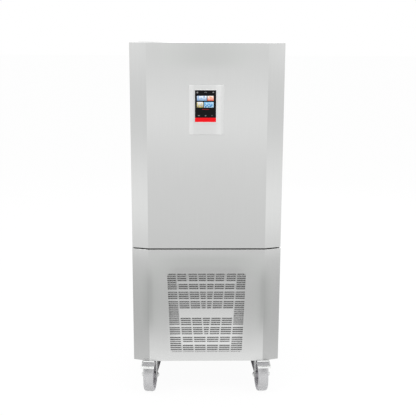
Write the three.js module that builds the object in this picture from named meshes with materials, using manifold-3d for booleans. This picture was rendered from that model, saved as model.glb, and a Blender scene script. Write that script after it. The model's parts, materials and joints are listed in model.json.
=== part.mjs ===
// A reach-in blast chiller on four swivel castors, in millimetres: +X to the viewer's right,
// +Z up, the door to -Y, and the origin on the floor in the middle of the footprint.
// The insulated chamber with its door stands on a machine compartment behind a slotted grille.

import * as THREE from 'three';
import { mergeVertices } from 'three/addons/utils/BufferGeometryUtils.js';
import Module from 'manifold-3d';

// ---- driving dimensions -------------------------------------------------------------------

const WIDTH = 700; // across the side panels
const FRONT_Y = -362; // flat middle of the door
const BODY_DEPTH = 755; // from the door's flat front to the rear panels
const SHEET = 1.5; // steel sheet of every panel
const SEAM = 0.3; // gap between two pieces that touch

const CASTOR_HEIGHT = 200; // floor to the underside of the chassis
const SKIRT_DROP = 27; // how far the panels hang below the chassis
const LOWER_PANEL_HEIGHT = 558;
const DOOR_GAP = 6; // between the lower front panel and the door
const DOOR_HEIGHT = 943;
const DOOR_INSET = 1; // the door is this much narrower on each side
const DOOR_DEPTH = 75;
const BEVEL_WIDTH = 77; // sloping strip down each side of the door and the lower panel
const BEVEL_DEPTH = 25;
const GASKET_SPACE = 7; // between the closed door and the cabinet's front frame
const TOP_DROP = 4; // the cabinet's top lies this far under the door's top edge
const FLOOR_WALL = 62; // insulated walls, outer face to inner face
const SIDE_WALL = 60;
const TOP_WALL = 60;
const REAR_WALL = 60;

// ---- places that follow from them ---------------------------------------------------------

const HALF_WIDTH = WIDTH / 2;
const REAR_Y = FRONT_Y + BODY_DEPTH;
const SKIRT_Z = CASTOR_HEIGHT - SKIRT_DROP;
const LOWER_TOP = SKIRT_Z + LOWER_PANEL_HEIGHT;
const DOOR_Z = [LOWER_TOP + DOOR_GAP, LOWER_TOP + DOOR_GAP + DOOR_HEIGHT];
const DOOR_HALF = HALF_WIDTH - DOOR_INSET;
const DOOR_BACK = FRONT_Y + DOOR_DEPTH;
const FRAME_Y = DOOR_BACK + GASKET_SPACE;
const CABINET_TOP = DOOR_Z[1] - TOP_DROP;
const CABINET_FLOOR = LOWER_TOP + SHEET;
const INNER_HALF = HALF_WIDTH - SHEET - SEAM; // between the side panels
const INNER_REAR = REAR_Y - SHEET - SEAM; // in front of the rear panels
const CHAMBER_HALF = HALF_WIDTH - SIDE_WALL;
const CHAMBER_Z = [CABINET_FLOOR + FLOOR_WALL, CABINET_TOP - TOP_WALL];
const CHAMBER_BACK = REAR_Y - REAR_WALL;
const CHASSIS_SHEET = 3;
const MACHINE_FLOOR = CASTOR_HEIGHT + CHASSIS_SHEET + SEAM; // where the machinery stands

// ---- solids -------------------------------------------------------------------------------

const wasm = await Module();
wasm.setup();

function toSolid(geometry) {
  geometry.deleteAttribute('normal');
  geometry.deleteAttribute('uv');
  const merged = mergeVertices(geometry, 1e-4);
  return new wasm.Manifold(new wasm.Mesh({
    numProp: 3,
    vertProperties: new Float32Array(merged.attributes.position.array),
    triVerts: new Uint32Array(merged.index.array),
  }));
}

function toGeometry(solid) {
  const mesh = solid.getMesh();
  const geometry = new THREE.BufferGeometry();
  geometry.setAttribute('position', new THREE.BufferAttribute(mesh.vertProperties, 3));
  geometry.setIndex(new THREE.BufferAttribute(mesh.triVerts, 1));
  const flat = geometry.toNonIndexed();
  flat.computeVertexNormals();
  return flat;
}

const join = (solids) => solids.reduce((whole, solid) => whole.add(solid));
const cut = (solid, tools) => tools.reduce((rest, tool) => rest.subtract(tool), solid);

function block([x0, x1], [y0, y1], [z0, z1]) {
  const box = new THREE.BoxGeometry(x1 - x0, y1 - y0, z1 - z0);
  return toSolid(box.translate((x0 + x1) / 2, (y0 + y1) / 2, (z0 + z1) / 2));
}

// An outline is drawn in (y, z) for a prism along x, in (x, z) along y and in (x, y) along z.
const PRISM_AXES = {
  x: [[0, 1, 0], [0, 0, 1], [1, 0, 0]],
  y: [[1, 0, 0], [0, 0, 1], [0, -1, 0]],
  z: [[1, 0, 0], [0, 1, 0], [0, 0, 1]],
};

function prism(outline, axis, [from, to]) {
  const shape = new THREE.Shape(outline.map(([a, b]) => new THREE.Vector2(a, b)));
  const geometry = new THREE.ExtrudeGeometry(shape, { depth: to - from, bevelEnabled: false });
  geometry.translate(0, 0, axis === 'y' ? -to : from);
  const basis = PRISM_AXES[axis].map((v) => new THREE.Vector3(...v));
  return toSolid(geometry.applyMatrix4(new THREE.Matrix4().makeBasis(...basis)));
}

function arc([a, b], radius, from, to, steps) {
  return Array.from({ length: steps + 1 }, (_, i) => {
    const angle = from + ((to - from) * i) / steps;
    return [a + radius * Math.cos(angle), b + radius * Math.sin(angle)];
  });
}

// A polygon round a circle of this radius, with a flat side at the bottom.
function circle(centre, radius, sides) {
  const step = (2 * Math.PI) / sides;
  const start = step / 2 - Math.PI / 2;
  return arc(centre, radius / Math.cos(step / 2), start, start + 2 * Math.PI - step, sides - 1);
}

const rod = (centre, radius, axis, range, sides = 12) =>
  prism(circle(centre, radius, sides), axis, range);

// A profile of [radius, height] points, turned about the z axis.
function turned(profile, sides) {
  const points = profile.map(([r, h]) => new THREE.Vector2(r, h));
  const step = (2 * Math.PI) / sides;
  return toSolid(new THREE.LatheGeometry(points, sides, step / 2).rotateX(Math.PI / 2));
}

const grown = ([low, high], margin) => [low - margin, high + margin];

// ---- assembly -----------------------------------------------------------------------------

const FINISHES = {
  brushedSteel: { color: 0xcfcfcc, roughness: 0.38, metalness: 0.9 },
  galvanised: { color: 0xa9adb0, roughness: 0.5, metalness: 0.8 },
  brightSteel: { color: 0xdcdddd, roughness: 0.25, metalness: 0.95 },
  foam: { color: 0xe6d9a8, roughness: 0.95, metalness: 0 },
  gasket: { color: 0x5c5e60, roughness: 0.7, metalness: 0 },
  greyPlastic: { color: 0xc9cac8, roughness: 0.45, metalness: 0.1 },
  blackGlass: { color: 0x0a0b0d, roughness: 0.08, metalness: 0 },
  tyre: { color: 0x8f8e92, roughness: 0.75, metalness: 0 },
  rim: { color: 0x55545a, roughness: 0.6, metalness: 0 },
  fanBlack: { color: 0x1c1d1f, roughness: 0.5, metalness: 0 },
  aluminium: { color: 0xb9bdc0, roughness: 0.45, metalness: 0.85 },
  copper: { color: 0xb0693c, roughness: 0.35, metalness: 0.95 },
  blackPaint: { color: 0x17181a, roughness: 0.4, metalness: 0.3 },
  boxGrey: { color: 0x9b9ea0, roughness: 0.55, metalness: 0.2 },
};

const chiller = new THREE.Group();

function addPiece(name, solid, finish, parent = chiller) {
  const mesh = new THREE.Mesh(toGeometry(solid), new THREE.MeshStandardMaterial(FINISHES[finish]));
  mesh.name = name;
  parent.add(mesh);
}

// ---- shape shared by the door and the lower front panel -----------------------------------

const BEVEL_ANGLE = Math.atan2(BEVEL_DEPTH, BEVEL_WIDTH);

// Plan of a front with its flat middle and two bevels, moved in by inset, open to backY.
function frontOutline(halfWidth, inset, backY) {
  const side = halfWidth - inset;
  const flat = halfWidth - BEVEL_WIDTH - inset * Math.tan(BEVEL_ANGLE / 2);
  const front = FRONT_Y + inset;
  const shoulder = FRONT_Y + BEVEL_DEPTH + inset * Math.tan(Math.PI / 4 - BEVEL_ANGLE / 2);
  return [
    [-side, backY], [-side, shoulder], [-flat, front],
    [flat, front], [side, shoulder], [side, backY],
  ];
}

// ---- outer panels -------------------------------------------------------------------------

const PAST = 1; // how far a cutting tool runs past the face that it opens

for (const [name, side] of [['side_panel_left', -1], ['side_panel_right', 1]]) {
  const x = [side * HALF_WIDTH, side * (HALF_WIDTH - SHEET)].sort((a, b) => a - b);
  addPiece(name, block(x, [FRAME_Y, REAR_Y], [SKIRT_Z, CABINET_TOP]), 'brushedSteel');
}

const TOP_PANEL_Z = [CABINET_TOP - SHEET, CABINET_TOP];
const UPPER_Z = [CABINET_FLOOR + SEAM, TOP_PANEL_Z[0] - SEAM]; // between base and top panels
const ACROSS = [-INNER_HALF, INNER_HALF];

addPiece('top_panel', block(ACROSS, [FRAME_Y, REAR_Y], TOP_PANEL_Z), 'brushedSteel');
addPiece('back_panel', block(ACROSS, [REAR_Y - SHEET, REAR_Y], UPPER_Z), 'galvanised');

const GLAND_X = -HALF_WIDTH + 100;
const GLAND_Z = 290;
const GLAND_RADIUS = 10;
const LOUVRE_LENGTH = 250;
const LOUVRE_HEIGHT = 8;
const LOUVRE_PITCH = 24;
const LOUVRES = 10; // in each of two columns
const LOUVRE_FIRST_Z = 440;
const LOUVRE_MIDDLE_X = 160;

function rearVentPanel() {
  const slots = [];
  for (const side of [-1, 1]) {
    const middle = side * LOUVRE_MIDDLE_X;
    for (let i = 0; i < LOUVRES; i += 1) {
      const z = LOUVRE_FIRST_Z + i * LOUVRE_PITCH;
      const x = [middle - LOUVRE_LENGTH / 2, middle + LOUVRE_LENGTH / 2];
      slots.push(block(x, grown([REAR_Y - SHEET, REAR_Y], PAST), [z, z + LOUVRE_HEIGHT]));
    }
  }
  const hole = rod([GLAND_X, GLAND_Z], GLAND_RADIUS + SEAM, 'y', grown([REAR_Y - SHEET, REAR_Y], PAST));
  const sheet = block(ACROSS, [REAR_Y - SHEET, REAR_Y], [SKIRT_Z, CABINET_FLOOR]);
  return cut(sheet, [...slots, hole]);
}
addPiece('rear_vent_panel', rearVentPanel(), 'galvanised');

// ---- insulated chamber --------------------------------------------------------------------

const LINER_FRONT = FRAME_Y + SHEET + SEAM;
const COIL_SIDE_SPACE = 85; // from the evaporator's end plates to the chamber's sides
const COIL_REAR_SPACE = 20;
const COIL_DEPTH = 90;
const COIL_FOOT_SPACE = 42;
const COIL_HEAD_SPACE = 59.5;
const EVAPORATOR_HALF = CHAMBER_HALF - COIL_SIDE_SPACE;
const EVAPORATOR_Y = [CHAMBER_BACK - COIL_REAR_SPACE - COIL_DEPTH, CHAMBER_BACK - COIL_REAR_SPACE];
const EVAPORATOR_Z = [CHAMBER_Z[0] + COIL_FOOT_SPACE, CHAMBER_Z[1] - COIL_HEAD_SPACE];
const FAN_SPACE = 104; // between the fan shroud's face and the evaporator
const SHROUD_Y = EVAPORATOR_Y[0] - FAN_SPACE;

const SUCTION_OUT = 50; // from the evaporator's end plate to the pipe that goes down
const SUCTION_FROM_REAR = 38;
const SUCTION_X = EVAPORATOR_HALF + SUCTION_OUT;
const SUCTION_Y = CHAMBER_BACK - SUCTION_FROM_REAR;
const SUCTION_RADIUS = 9;
const PIPE_CLEARANCE = 2; // round the pipe where it goes through the floor
const PIPE_HOLE = rod(
  [SUCTION_X, SUCTION_Y], SUCTION_RADIUS + PIPE_CLEARANCE, 'z', grown([LOWER_TOP, CHAMBER_Z[0]], PAST));

// The space inside the liner's steel, grown by a margin and open to the front.
const chamberSpace = (margin, front) =>
  block(
    grown([-CHAMBER_HALF, CHAMBER_HALF], margin),
    [front, CHAMBER_BACK + margin],
    grown(CHAMBER_Z, margin),
  );

const linerBody = chamberSpace(SHEET, LINER_FRONT).subtract(chamberSpace(0, LINER_FRONT - PAST));
addPiece('chamber_liner', linerBody.subtract(PIPE_HOLE), 'brushedSteel');

const foamBody = block(ACROSS, [LINER_FRONT, INNER_REAR], UPPER_Z);
const foamHollow = chamberSpace(SHEET + SEAM, LINER_FRONT - PAST);
addPiece('cabinet_foam', cut(foamBody, [foamHollow, PIPE_HOLE]), 'foam');

const frameBody = block(ACROSS, [FRAME_Y, FRAME_Y + SHEET], UPPER_Z);
addPiece('door_frame', frameBody.subtract(chamberSpace(0, FRAME_Y - PAST)), 'brushedSteel');

const baseSheet = block(ACROSS, [FRAME_Y, INNER_REAR], [LOWER_TOP, CABINET_FLOOR]);
addPiece('chamber_base_panel', baseSheet.subtract(PIPE_HOLE), 'galvanised');

// ---- tray racks ---------------------------------------------------------------------------

const RUNNER_PITCH = 75;
const RUNNER_FIRST = 58; // above the chamber floor
const RUNNER_HEIGHT = 22;
const RUNNER_LEDGE = 24;
const RUNNER_SHEET = 2;
const RUNNER_FROM_FRAME = 22;
const RUNNER_FROM_SHROUD = 12;
const RUNNER_Y = [FRAME_Y + RUNNER_FROM_FRAME, SHROUD_Y - RUNNER_FROM_SHROUD];
const POST_SIZE = 19;
const POST_FROM_ENDS = 22; // from each end of a runner
const POST_HEADROOM = 21.5; // under the chamber's ceiling
const POST_Z = [CHAMBER_Z[0] + SEAM, CHAMBER_Z[1] - POST_HEADROOM];
const FIRST_RUNNER_Z = CHAMBER_Z[0] + RUNNER_FIRST;
const RUNNERS = 1 + Math.floor((POST_Z[1] - RUNNER_HEIGHT - FIRST_RUNNER_Z) / RUNNER_PITCH);

function rack(side) {
  const wall = side * (CHAMBER_HALF - SEAM);
  const face = wall - side * POST_SIZE;
  const across = (a, b) => [a, b].sort((p, q) => p - q);
  const posts = [RUNNER_Y[0] + POST_FROM_ENDS, RUNNER_Y[1] - POST_FROM_ENDS - POST_SIZE].map((y) =>
    block(across(wall, face), [y, y + POST_SIZE], POST_Z));
  const runners = Array.from({ length: RUNNERS }, (_, i) => {
    const z = FIRST_RUNNER_Z + i * RUNNER_PITCH;
    const upright = block(across(face, face - side * RUNNER_SHEET), RUNNER_Y, [z, z + RUNNER_HEIGHT]);
    const ledge = block(across(face, face - side * RUNNER_LEDGE), RUNNER_Y, [z, z + RUNNER_SHEET]);
    return upright.add(ledge);
  });
  return join([...posts, ...runners]);
}
addPiece('rack_left', rack(-1), 'brightSteel');
addPiece('rack_right', rack(1), 'brightSteel');

// ---- fans: a hub with pitched blades, and a motor on a cage of arms ------------------------

const BLADES = 5;
const BLADE_PITCH = THREE.MathUtils.degToRad(28);
const BLADE_SHEET = 2.5;
const BLADE_ROOT = 3; // how deep a blade or an arm is rooted in the hub or the motor
const ARM_SHEET = 4;
const LEG_DEPTH = 6;

// Turns about the y axis through (0, z); the hub's front is at y.
function fan({ z, y, hubRadius, hubDepth, tipRadius, chord }) {
  const hub = rod([0, z], hubRadius, 'y', [y, y + hubDepth], 16);
  const root = hubRadius - BLADE_ROOT;
  const blades = Array.from({ length: BLADES }, (_, i) => {
    const outline = [
      [root, -chord * 0.32], [tipRadius * 0.72, -chord / 2], [tipRadius * 0.96, -chord * 0.42],
      [tipRadius, chord * 0.1], [tipRadius * 0.9, chord / 2], [root, chord * 0.3],
    ];
    const shape = new THREE.Shape(outline.map(([a, b]) => new THREE.Vector2(a, b)));
    const blade = new THREE.ExtrudeGeometry(shape, { depth: BLADE_SHEET, bevelEnabled: false });
    blade.rotateX(Math.PI / 2 - BLADE_PITCH);
    blade.rotateY((i * 2 * Math.PI) / BLADES);
    return toSolid(blade.translate(0, y + hubDepth / 2, z));
  });
  return join([hub, ...blades]);
}

// The motor's arms reach out past the blades and forward to the plate at plateY.
function motor({ z, y, depth, radius, armY, armSize, legRadius, plateY }) {
  const body = rod([0, z], radius, 'y', [y, y + depth], 16);
  const arms = [0, 1, 2, 3].map((i) => {
    const half = armSize / 2;
    const bar = block([radius - BLADE_ROOT, legRadius], [armY, armY + ARM_SHEET], [-half, half]);
    const leg = block([legRadius - LEG_DEPTH, legRadius], [plateY, armY + ARM_SHEET], [-half, half]);
    return bar.add(leg).rotate([0, 45 + 90 * i, 0]).translate([0, 0, z]);
  });
  return join([body, ...arms]);
}

// ---- evaporator behind its fan shroud ------------------------------------------------------

const SHROUD_SIDE_SPACE = 40; // from its returns to the chamber's sides
const SHROUD_HALF = CHAMBER_HALF - SHROUD_SIDE_SPACE;
const SHROUD_RETURN = 20;
const CHAMBER_FAN_TIP = 110;
const CHAMBER_FAN_GAP = 8; // from the blade tips to the edge of the shroud's holes
const CHAMBER_FAN_Z = [1, 3].map((quarter) => CHAMBER_Z[0] + ((CHAMBER_Z[1] - CHAMBER_Z[0]) * quarter) / 4);
const STANDING = grown(CHAMBER_Z, -SEAM);

const shroudFace = [SHROUD_Y, SHROUD_Y + SHEET];
const fanHoles = CHAMBER_FAN_Z.map((z) =>
  rod([0, z], CHAMBER_FAN_TIP + CHAMBER_FAN_GAP, 'y', grown(shroudFace, PAST), 32));
const shroudBody = block([-SHROUD_HALF, SHROUD_HALF], [SHROUD_Y, SHROUD_Y + SHROUD_RETURN], STANDING)
  .subtract(block(
    [-SHROUD_HALF + SHEET, SHROUD_HALF - SHEET],
    [SHROUD_Y + SHEET, SHROUD_Y + SHROUD_RETURN + PAST],
    grown(STANDING, PAST),
  ));
addPiece('fan_shroud', cut(shroudBody, fanHoles), 'brushedSteel');

const CHAMBER_FAN_Y = SHROUD_Y + 6;
const CHAMBER_HUB_RADIUS = 30;
const CHAMBER_HUB_DEPTH = 30;
const CHAMBER_BLADE_CHORD = 52;
const CHAMBER_MOTOR_RADIUS = 38;
const CHAMBER_MOTOR_DEPTH = 42;
const CHAMBER_ARM_BEHIND = 16; // from the hub's back to the motor's arms
const CHAMBER_ARM_SIZE = 14;
const CHAMBER_LEG_OUT = 10; // from the shroud's hole to the outside of a leg
CHAMBER_FAN_Z.forEach((z, i) => {
  const place = ['lower', 'upper'][i];
  addPiece(`evaporator_fan_${place}`, fan({
    z, y: CHAMBER_FAN_Y, hubRadius: CHAMBER_HUB_RADIUS, hubDepth: CHAMBER_HUB_DEPTH,
    tipRadius: CHAMBER_FAN_TIP, chord: CHAMBER_BLADE_CHORD,
  }), 'fanBlack');
  addPiece(`evaporator_motor_${place}`, motor({
    z,
    y: CHAMBER_FAN_Y + CHAMBER_HUB_DEPTH + SEAM,
    depth: CHAMBER_MOTOR_DEPTH,
    radius: CHAMBER_MOTOR_RADIUS,
    armY: CHAMBER_FAN_Y + CHAMBER_HUB_DEPTH + CHAMBER_ARM_BEHIND,
    armSize: CHAMBER_ARM_SIZE,
    legRadius: CHAMBER_FAN_TIP + CHAMBER_FAN_GAP + CHAMBER_LEG_OUT,
    plateY: SHROUD_Y + SHEET + SEAM,
  }), 'galvanised');
});

const END_PLATE = 3;
const TUBE = 10;
const FINS_SHORT = 4; // the fins stop this far short of the end plates' ends

// A finned block between two end plates, with the tubes' return bends at its +x end.
function finnedCoil({ x, y, z, plateY, bends }) {
  const fins = block(x, y, grown(z, -FINS_SHORT));
  const plates = [x[0], x[1] - END_PLATE].map((low) => block([low, low + END_PLATE], plateY, z));
  const pitch = (z[1] - z[0]) / (2 * bends);
  const middleY = (y[0] + y[1]) / 2;
  const hoops = Array.from({ length: bends }, (_, i) => {
    const middle = [x[1] - 1, z[0] + pitch * (2 * i + 1)];
    const quarter = Math.PI / 2;
    const outline = [
      ...arc(middle, pitch / 2 + TUBE / 2, -quarter, quarter, 6),
      ...arc(middle, pitch / 2 - TUBE / 2, quarter, -quarter, 4),
    ];
    return prism(outline, 'y', [middleY - TUBE / 2, middleY + TUBE / 2]);
  });
  return join([fins, ...plates, ...hoops]);
}

addPiece('evaporator_coil', finnedCoil({
  x: [-EVAPORATOR_HALF, EVAPORATOR_HALF], y: EVAPORATOR_Y, z: EVAPORATOR_Z,
  plateY: [EVAPORATOR_Y[0], CHAMBER_BACK - SEAM], bends: 6,
}), 'aluminium');

// ---- door ---------------------------------------------------------------------------------

const PIVOT_INSET_X = 9; // from the door's side to the pivot
const PIVOT_INSET_Y = 15; // from the door's back to the pivot
const PIVOT = [-DOOR_HALF + PIVOT_INSET_X, DOOR_BACK - PIVOT_INSET_Y];
const PIN_RADIUS = 4;
const PIN_LENGTH = 16;
const PIN_SHORT = 2; // from the pin's end to the end of its hole
const NOTCH_MARGIN = 12; // from the pivot to the notch's walls
const NOTCH_HEIGHT = 8;
const BRACKET_SHEET = 5;
const BRACKET_HALF = 8;

const GRIP_FOOT = 323; // above the door's foot
const GRIP_LENGTH = 300;
const GRIP_Z = [DOOR_Z[0] + GRIP_FOOT, DOOR_Z[0] + GRIP_FOOT + GRIP_LENGTH];
const GRIP_FROM_BACK = 10;
const GRIP_WIDTH = 27;
const GRIP_Y = [DOOR_BACK - GRIP_FROM_BACK - GRIP_WIDTH, DOOR_BACK - GRIP_FROM_BACK];
const GRIP_DEPTH = 24;
const GRIP_WALL = 2;
const GRIP_LIP = 6; // how far the front edge hooks over the recess
const GRIP_LIP_SHEET = 3;

const DISPLAY_X = -3;
const HOUSING_WIDTH = 161;
const HOUSING_SLOPE = 15.5;
const HOUSING_RISE = 12;
const HOUSING_FOOT = 536; // above the door's foot
const HOUSING_HEIGHT = 222;
const HOUSING_Z = [DOOR_Z[0] + HOUSING_FOOT, DOOR_Z[0] + HOUSING_FOOT + HOUSING_HEIGHT];
const GLASS_X = -8;
const GLASS_WIDTH = 99;
const GLASS_FOOT = 56.3; // above the housing's foot
const GLASS_HEIGHT = 143.4;
const GLASS_Z = [HOUSING_Z[0] + GLASS_FOOT, HOUSING_Z[0] + GLASS_FOOT + GLASS_HEIGHT];
const GLASS_DEPTH = 6;
const GLASS_SUNK = 0.5;
const CABLE_HOLE_RADIUS = 12; // through the door's sheet behind the display
const CABLE_HOLE_UP = 30;

// The corner of the door that the hinge plate reaches into, at its foot (0) or head (1).
function hingeNotch(end, margin) {
  const z = end
    ? [DOOR_Z[1] - NOTCH_HEIGHT, DOOR_Z[1] + PAST]
    : [DOOR_Z[0] - PAST, DOOR_Z[0] + NOTCH_HEIGHT];
  return block(
    [-DOOR_HALF - PAST, PIVOT[0] + NOTCH_MARGIN + margin],
    [PIVOT[1] - NOTCH_MARGIN - margin, DOOR_BACK + PAST],
    end ? [z[0] - margin, z[1]] : [z[0], z[1] + margin],
  );
}

function pinHole(end, radius) {
  const face = end ? DOOR_Z[1] - NOTCH_HEIGHT : DOOR_Z[0] + NOTCH_HEIGHT;
  const deep = end ? face - PIN_LENGTH : face + PIN_LENGTH;
  return rod(PIVOT, radius, 'z', grown([Math.min(face, deep), Math.max(face, deep)], PAST));
}

const gripSpace = (margin) =>
  block(
    [DOOR_HALF - GRIP_DEPTH - margin, DOOR_HALF + PAST],
    grown(GRIP_Y, margin),
    grown(GRIP_Z, margin),
  );

function doorSkin() {
  const outer = prism(frontOutline(DOOR_HALF, 0, DOOR_BACK), 'z', DOOR_Z);
  const inner = prism(frontOutline(DOOR_HALF, SHEET, DOOR_BACK + PAST), 'z', grown(DOOR_Z, -SHEET));
  const notchSteel = [0, 1].map((end) => outer.intersect(hingeNotch(end, SHEET)));
  const cableHoleCentre = [DISPLAY_X, HOUSING_Z[0] + CABLE_HOLE_UP];
  const cableHole = rod(cableHoleCentre, CABLE_HOLE_RADIUS, 'y', grown([FRONT_Y, FRONT_Y + SHEET], PAST));
  return cut(join([outer.subtract(inner), ...notchSteel]), [
    hingeNotch(0, 0), pinHole(0, PIN_RADIUS + SEAM),
    hingeNotch(1, 0), pinHole(1, PIN_RADIUS + SEAM),
    gripSpace(SEAM), cableHole,
  ]);
}
addPiece('door_skin', doorSkin(), 'brushedSteel');

const LINER_BACK = DOOR_BACK - SHEET; // front face of the door liner's sheet
const foamInset = SHEET + SEAM;
const FOAM_PIN_GAP = 2; // round the hinge pins
const foamPrism = prism(
  frontOutline(DOOR_HALF, foamInset, LINER_BACK - SEAM), 'z', grown(DOOR_Z, -foamInset));
addPiece('door_foam', cut(foamPrism, [
  hingeNotch(0, foamInset), pinHole(0, PIN_RADIUS + FOAM_PIN_GAP),
  hingeNotch(1, foamInset), pinHole(1, PIN_RADIUS + FOAM_PIN_GAP),
  gripSpace(SEAM),
]), 'foam');

const PLUG_INSET = 10; // the liner's plug is this much smaller than the chamber's mouth
const PLUG_HALF = CHAMBER_HALF - PLUG_INSET;
const PLUG_Z = grown(CHAMBER_Z, -PLUG_INSET);
const PLUG_RISE = 10;
const linerSheet = block(
  grown([-DOOR_HALF, DOOR_HALF], -foamInset), [LINER_BACK, DOOR_BACK], grown(DOOR_Z, -foamInset));
const plug = block([-PLUG_HALF, PLUG_HALF], [LINER_BACK, DOOR_BACK + PLUG_RISE], PLUG_Z);
const plugHollow = block(
  grown([-PLUG_HALF, PLUG_HALF], -SHEET), [LINER_BACK - PAST, DOOR_BACK + PLUG_RISE - SHEET],
  grown(PLUG_Z, -SHEET));
addPiece('door_liner', cut(linerSheet.add(plug), [
  plugHollow, hingeNotch(0, foamInset), hingeNotch(1, foamInset),
]), 'brushedSteel');

const GASKET_CLEARANCE = 12; // from the plug
const GASKET_WIDTH = 24;
const gasketX = grown([-PLUG_HALF, PLUG_HALF], GASKET_CLEARANCE);
const gasketZ = grown(PLUG_Z, GASKET_CLEARANCE);
const gasketY = [DOOR_BACK + SEAM, FRAME_Y - SEAM];
const gasketBody = block(grown(gasketX, GASKET_WIDTH), gasketY, grown(gasketZ, GASKET_WIDTH));
addPiece('door_gasket', gasketBody.subtract(block(gasketX, grown(gasketY, PAST), gasketZ)), 'gasket');

function doorGrip() {
  const cup = block([DOOR_HALF - GRIP_DEPTH, DOOR_HALF], GRIP_Y, GRIP_Z);
  const front = GRIP_Y[0] + GRIP_WALL;
  const back = GRIP_Y[1] - GRIP_WALL;
  const z = grown(GRIP_Z, -GRIP_WALL);
  const lipX = DOOR_HALF - GRIP_LIP_SHEET;
  const inside = block([DOOR_HALF - GRIP_DEPTH + GRIP_WALL, lipX], [front, back], z);
  const mouth = block([lipX - PAST, DOOR_HALF + PAST], [front + GRIP_LIP, back], z);
  return cut(cup, [inside, mouth]);
}
addPiece('door_grip', doorGrip(), 'fanBlack');

function displayHousing() {
  const [left, right] = [DISPLAY_X - HOUSING_WIDTH / 2, DISPLAY_X + HOUSING_WIDTH / 2];
  const [back, front] = [FRONT_Y - SEAM, FRONT_Y - HOUSING_RISE];
  const body = prism([
    [left, back], [left + HOUSING_SLOPE, front], [right - HOUSING_SLOPE, front], [right, back],
  ], 'z', HOUSING_Z);
  const pocket = block(
    grown([GLASS_X - GLASS_WIDTH / 2, GLASS_X + GLASS_WIDTH / 2], SEAM),
    [front - PAST, front + GLASS_SUNK + GLASS_DEPTH + SEAM], grown(GLASS_Z, SEAM));
  return body.subtract(pocket);
}
addPiece('display_housing', displayHousing(), 'greyPlastic');

const glassFront = FRONT_Y - HOUSING_RISE + GLASS_SUNK;
addPiece('touch_display', block(
  [GLASS_X - GLASS_WIDTH / 2, GLASS_X + GLASS_WIDTH / 2], [glassFront, glassFront + GLASS_DEPTH], GLASS_Z,
), 'blackGlass');

// ---- hinge brackets: a plate in the door's notch, a flange on the frame, and the pivot pin --

const FLANGE_SHEET = 3;
const FLANGE_WIDTH = 26;
const FLANGE_HEIGHT = 44;
const HINGE_GAP = 1; // between the notch's face and the hinge plate

function hingeBracket(end) {
  const level = end ? DOOR_Z[1] - NOTCH_HEIGHT : DOOR_Z[0] + NOTCH_HEIGHT; // face of the notch
  const away = end ? 1 : -1; // from that face towards the plate
  const span = (a, b) => [Math.min(a, b), Math.max(a, b)];
  const near = level + away * HINGE_GAP;
  const far = near + away * BRACKET_SHEET;
  const mountY = FRAME_Y - SEAM;
  const left = PIVOT[0] - BRACKET_HALF + 1;
  const plate = prism([
    [PIVOT[0] + BRACKET_HALF, mountY], [left, mountY],
    ...arc(PIVOT, BRACKET_HALF, Math.PI, 2 * Math.PI, 8),
  ], 'z', span(near, far));
  const flange = block(
    [left, left + FLANGE_WIDTH], [mountY - FLANGE_SHEET, mountY], span(far, far - away * FLANGE_HEIGHT));
  const pinEnd = level - away * (PIN_LENGTH - PIN_SHORT);
  return join([plate, flange, rod(PIVOT, PIN_RADIUS, 'z', span(far - away * PAST, pinEnd))]);
}
addPiece('hinge_bracket_lower', hingeBracket(0), 'brightSteel');
addPiece('hinge_bracket_upper', hingeBracket(1), 'brightSteel');

// ---- lower front panel with its grille -----------------------------------------------------

const SLOT_HEIGHT = 5.5;
const SLOT_PITCH = 10.3;
const RIB = 7;
const WIDE_RIB = 13;
const LEAN_Z = [52, 437]; // the ribs lean inwards between these heights above the panel's foot
const RIB_FOOT = [0, 4.5, 57, 114.5, 171.5]; // distance of each rib from the middle at the foot
const RIB_HEAD = [0, 42, 91, 142.5, 186]; // and at the head, the last being the grille's edge
const GRILLE_FIELD = [ // middle blocks: first slot above the foot, slots, its ribs and the wide one
  { top: 437.3, slots: 4, ribs: [0, 1, 2, 3], wide: 2 },
  { top: 387, slots: 3, ribs: [0, 1, 2, 3], wide: 3 },
  { top: 348.5, slots: 4, ribs: [0, 1, 2, 3] },
  { top: 301.5, slots: 4, ribs: [0, 1, 2, 3] },
  { top: 217.5, slots: 4, ribs: [1, 2, 3] },
  { top: 170.5, slots: 4, ribs: [1, 2, 3] },
  { top: 121, slots: 3, ribs: [0, 2, 3], wide: 3 },
  { top: 80, slots: 4, ribs: [0, 2, 3] },
];
const GRILLE_EDGES = [ // blocks of the outer columns, which also pass beside the bare plate
  { top: 437.3, slots: 8 }, { top: 348.5, slots: 4 }, { top: 301.5, slots: 12 },
  { top: 170.5, slots: 4 }, { top: 121, slots: 8 },
];
const CORNER_CUT = 7; // the lowest and highest outer slots are shorter, round the corners

function ribX(rib, z) {
  return THREE.MathUtils.mapLinear(z - SKIRT_Z, ...LEAN_Z, RIB_FOOT[rib], RIB_HEAD[rib]);
}

function slotCut(x0, x1, z) {
  return block([x0, x1], grown([FRONT_Y, FRONT_Y + SHEET], PAST), grown([z, z], SLOT_HEIGHT / 2));
}

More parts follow.
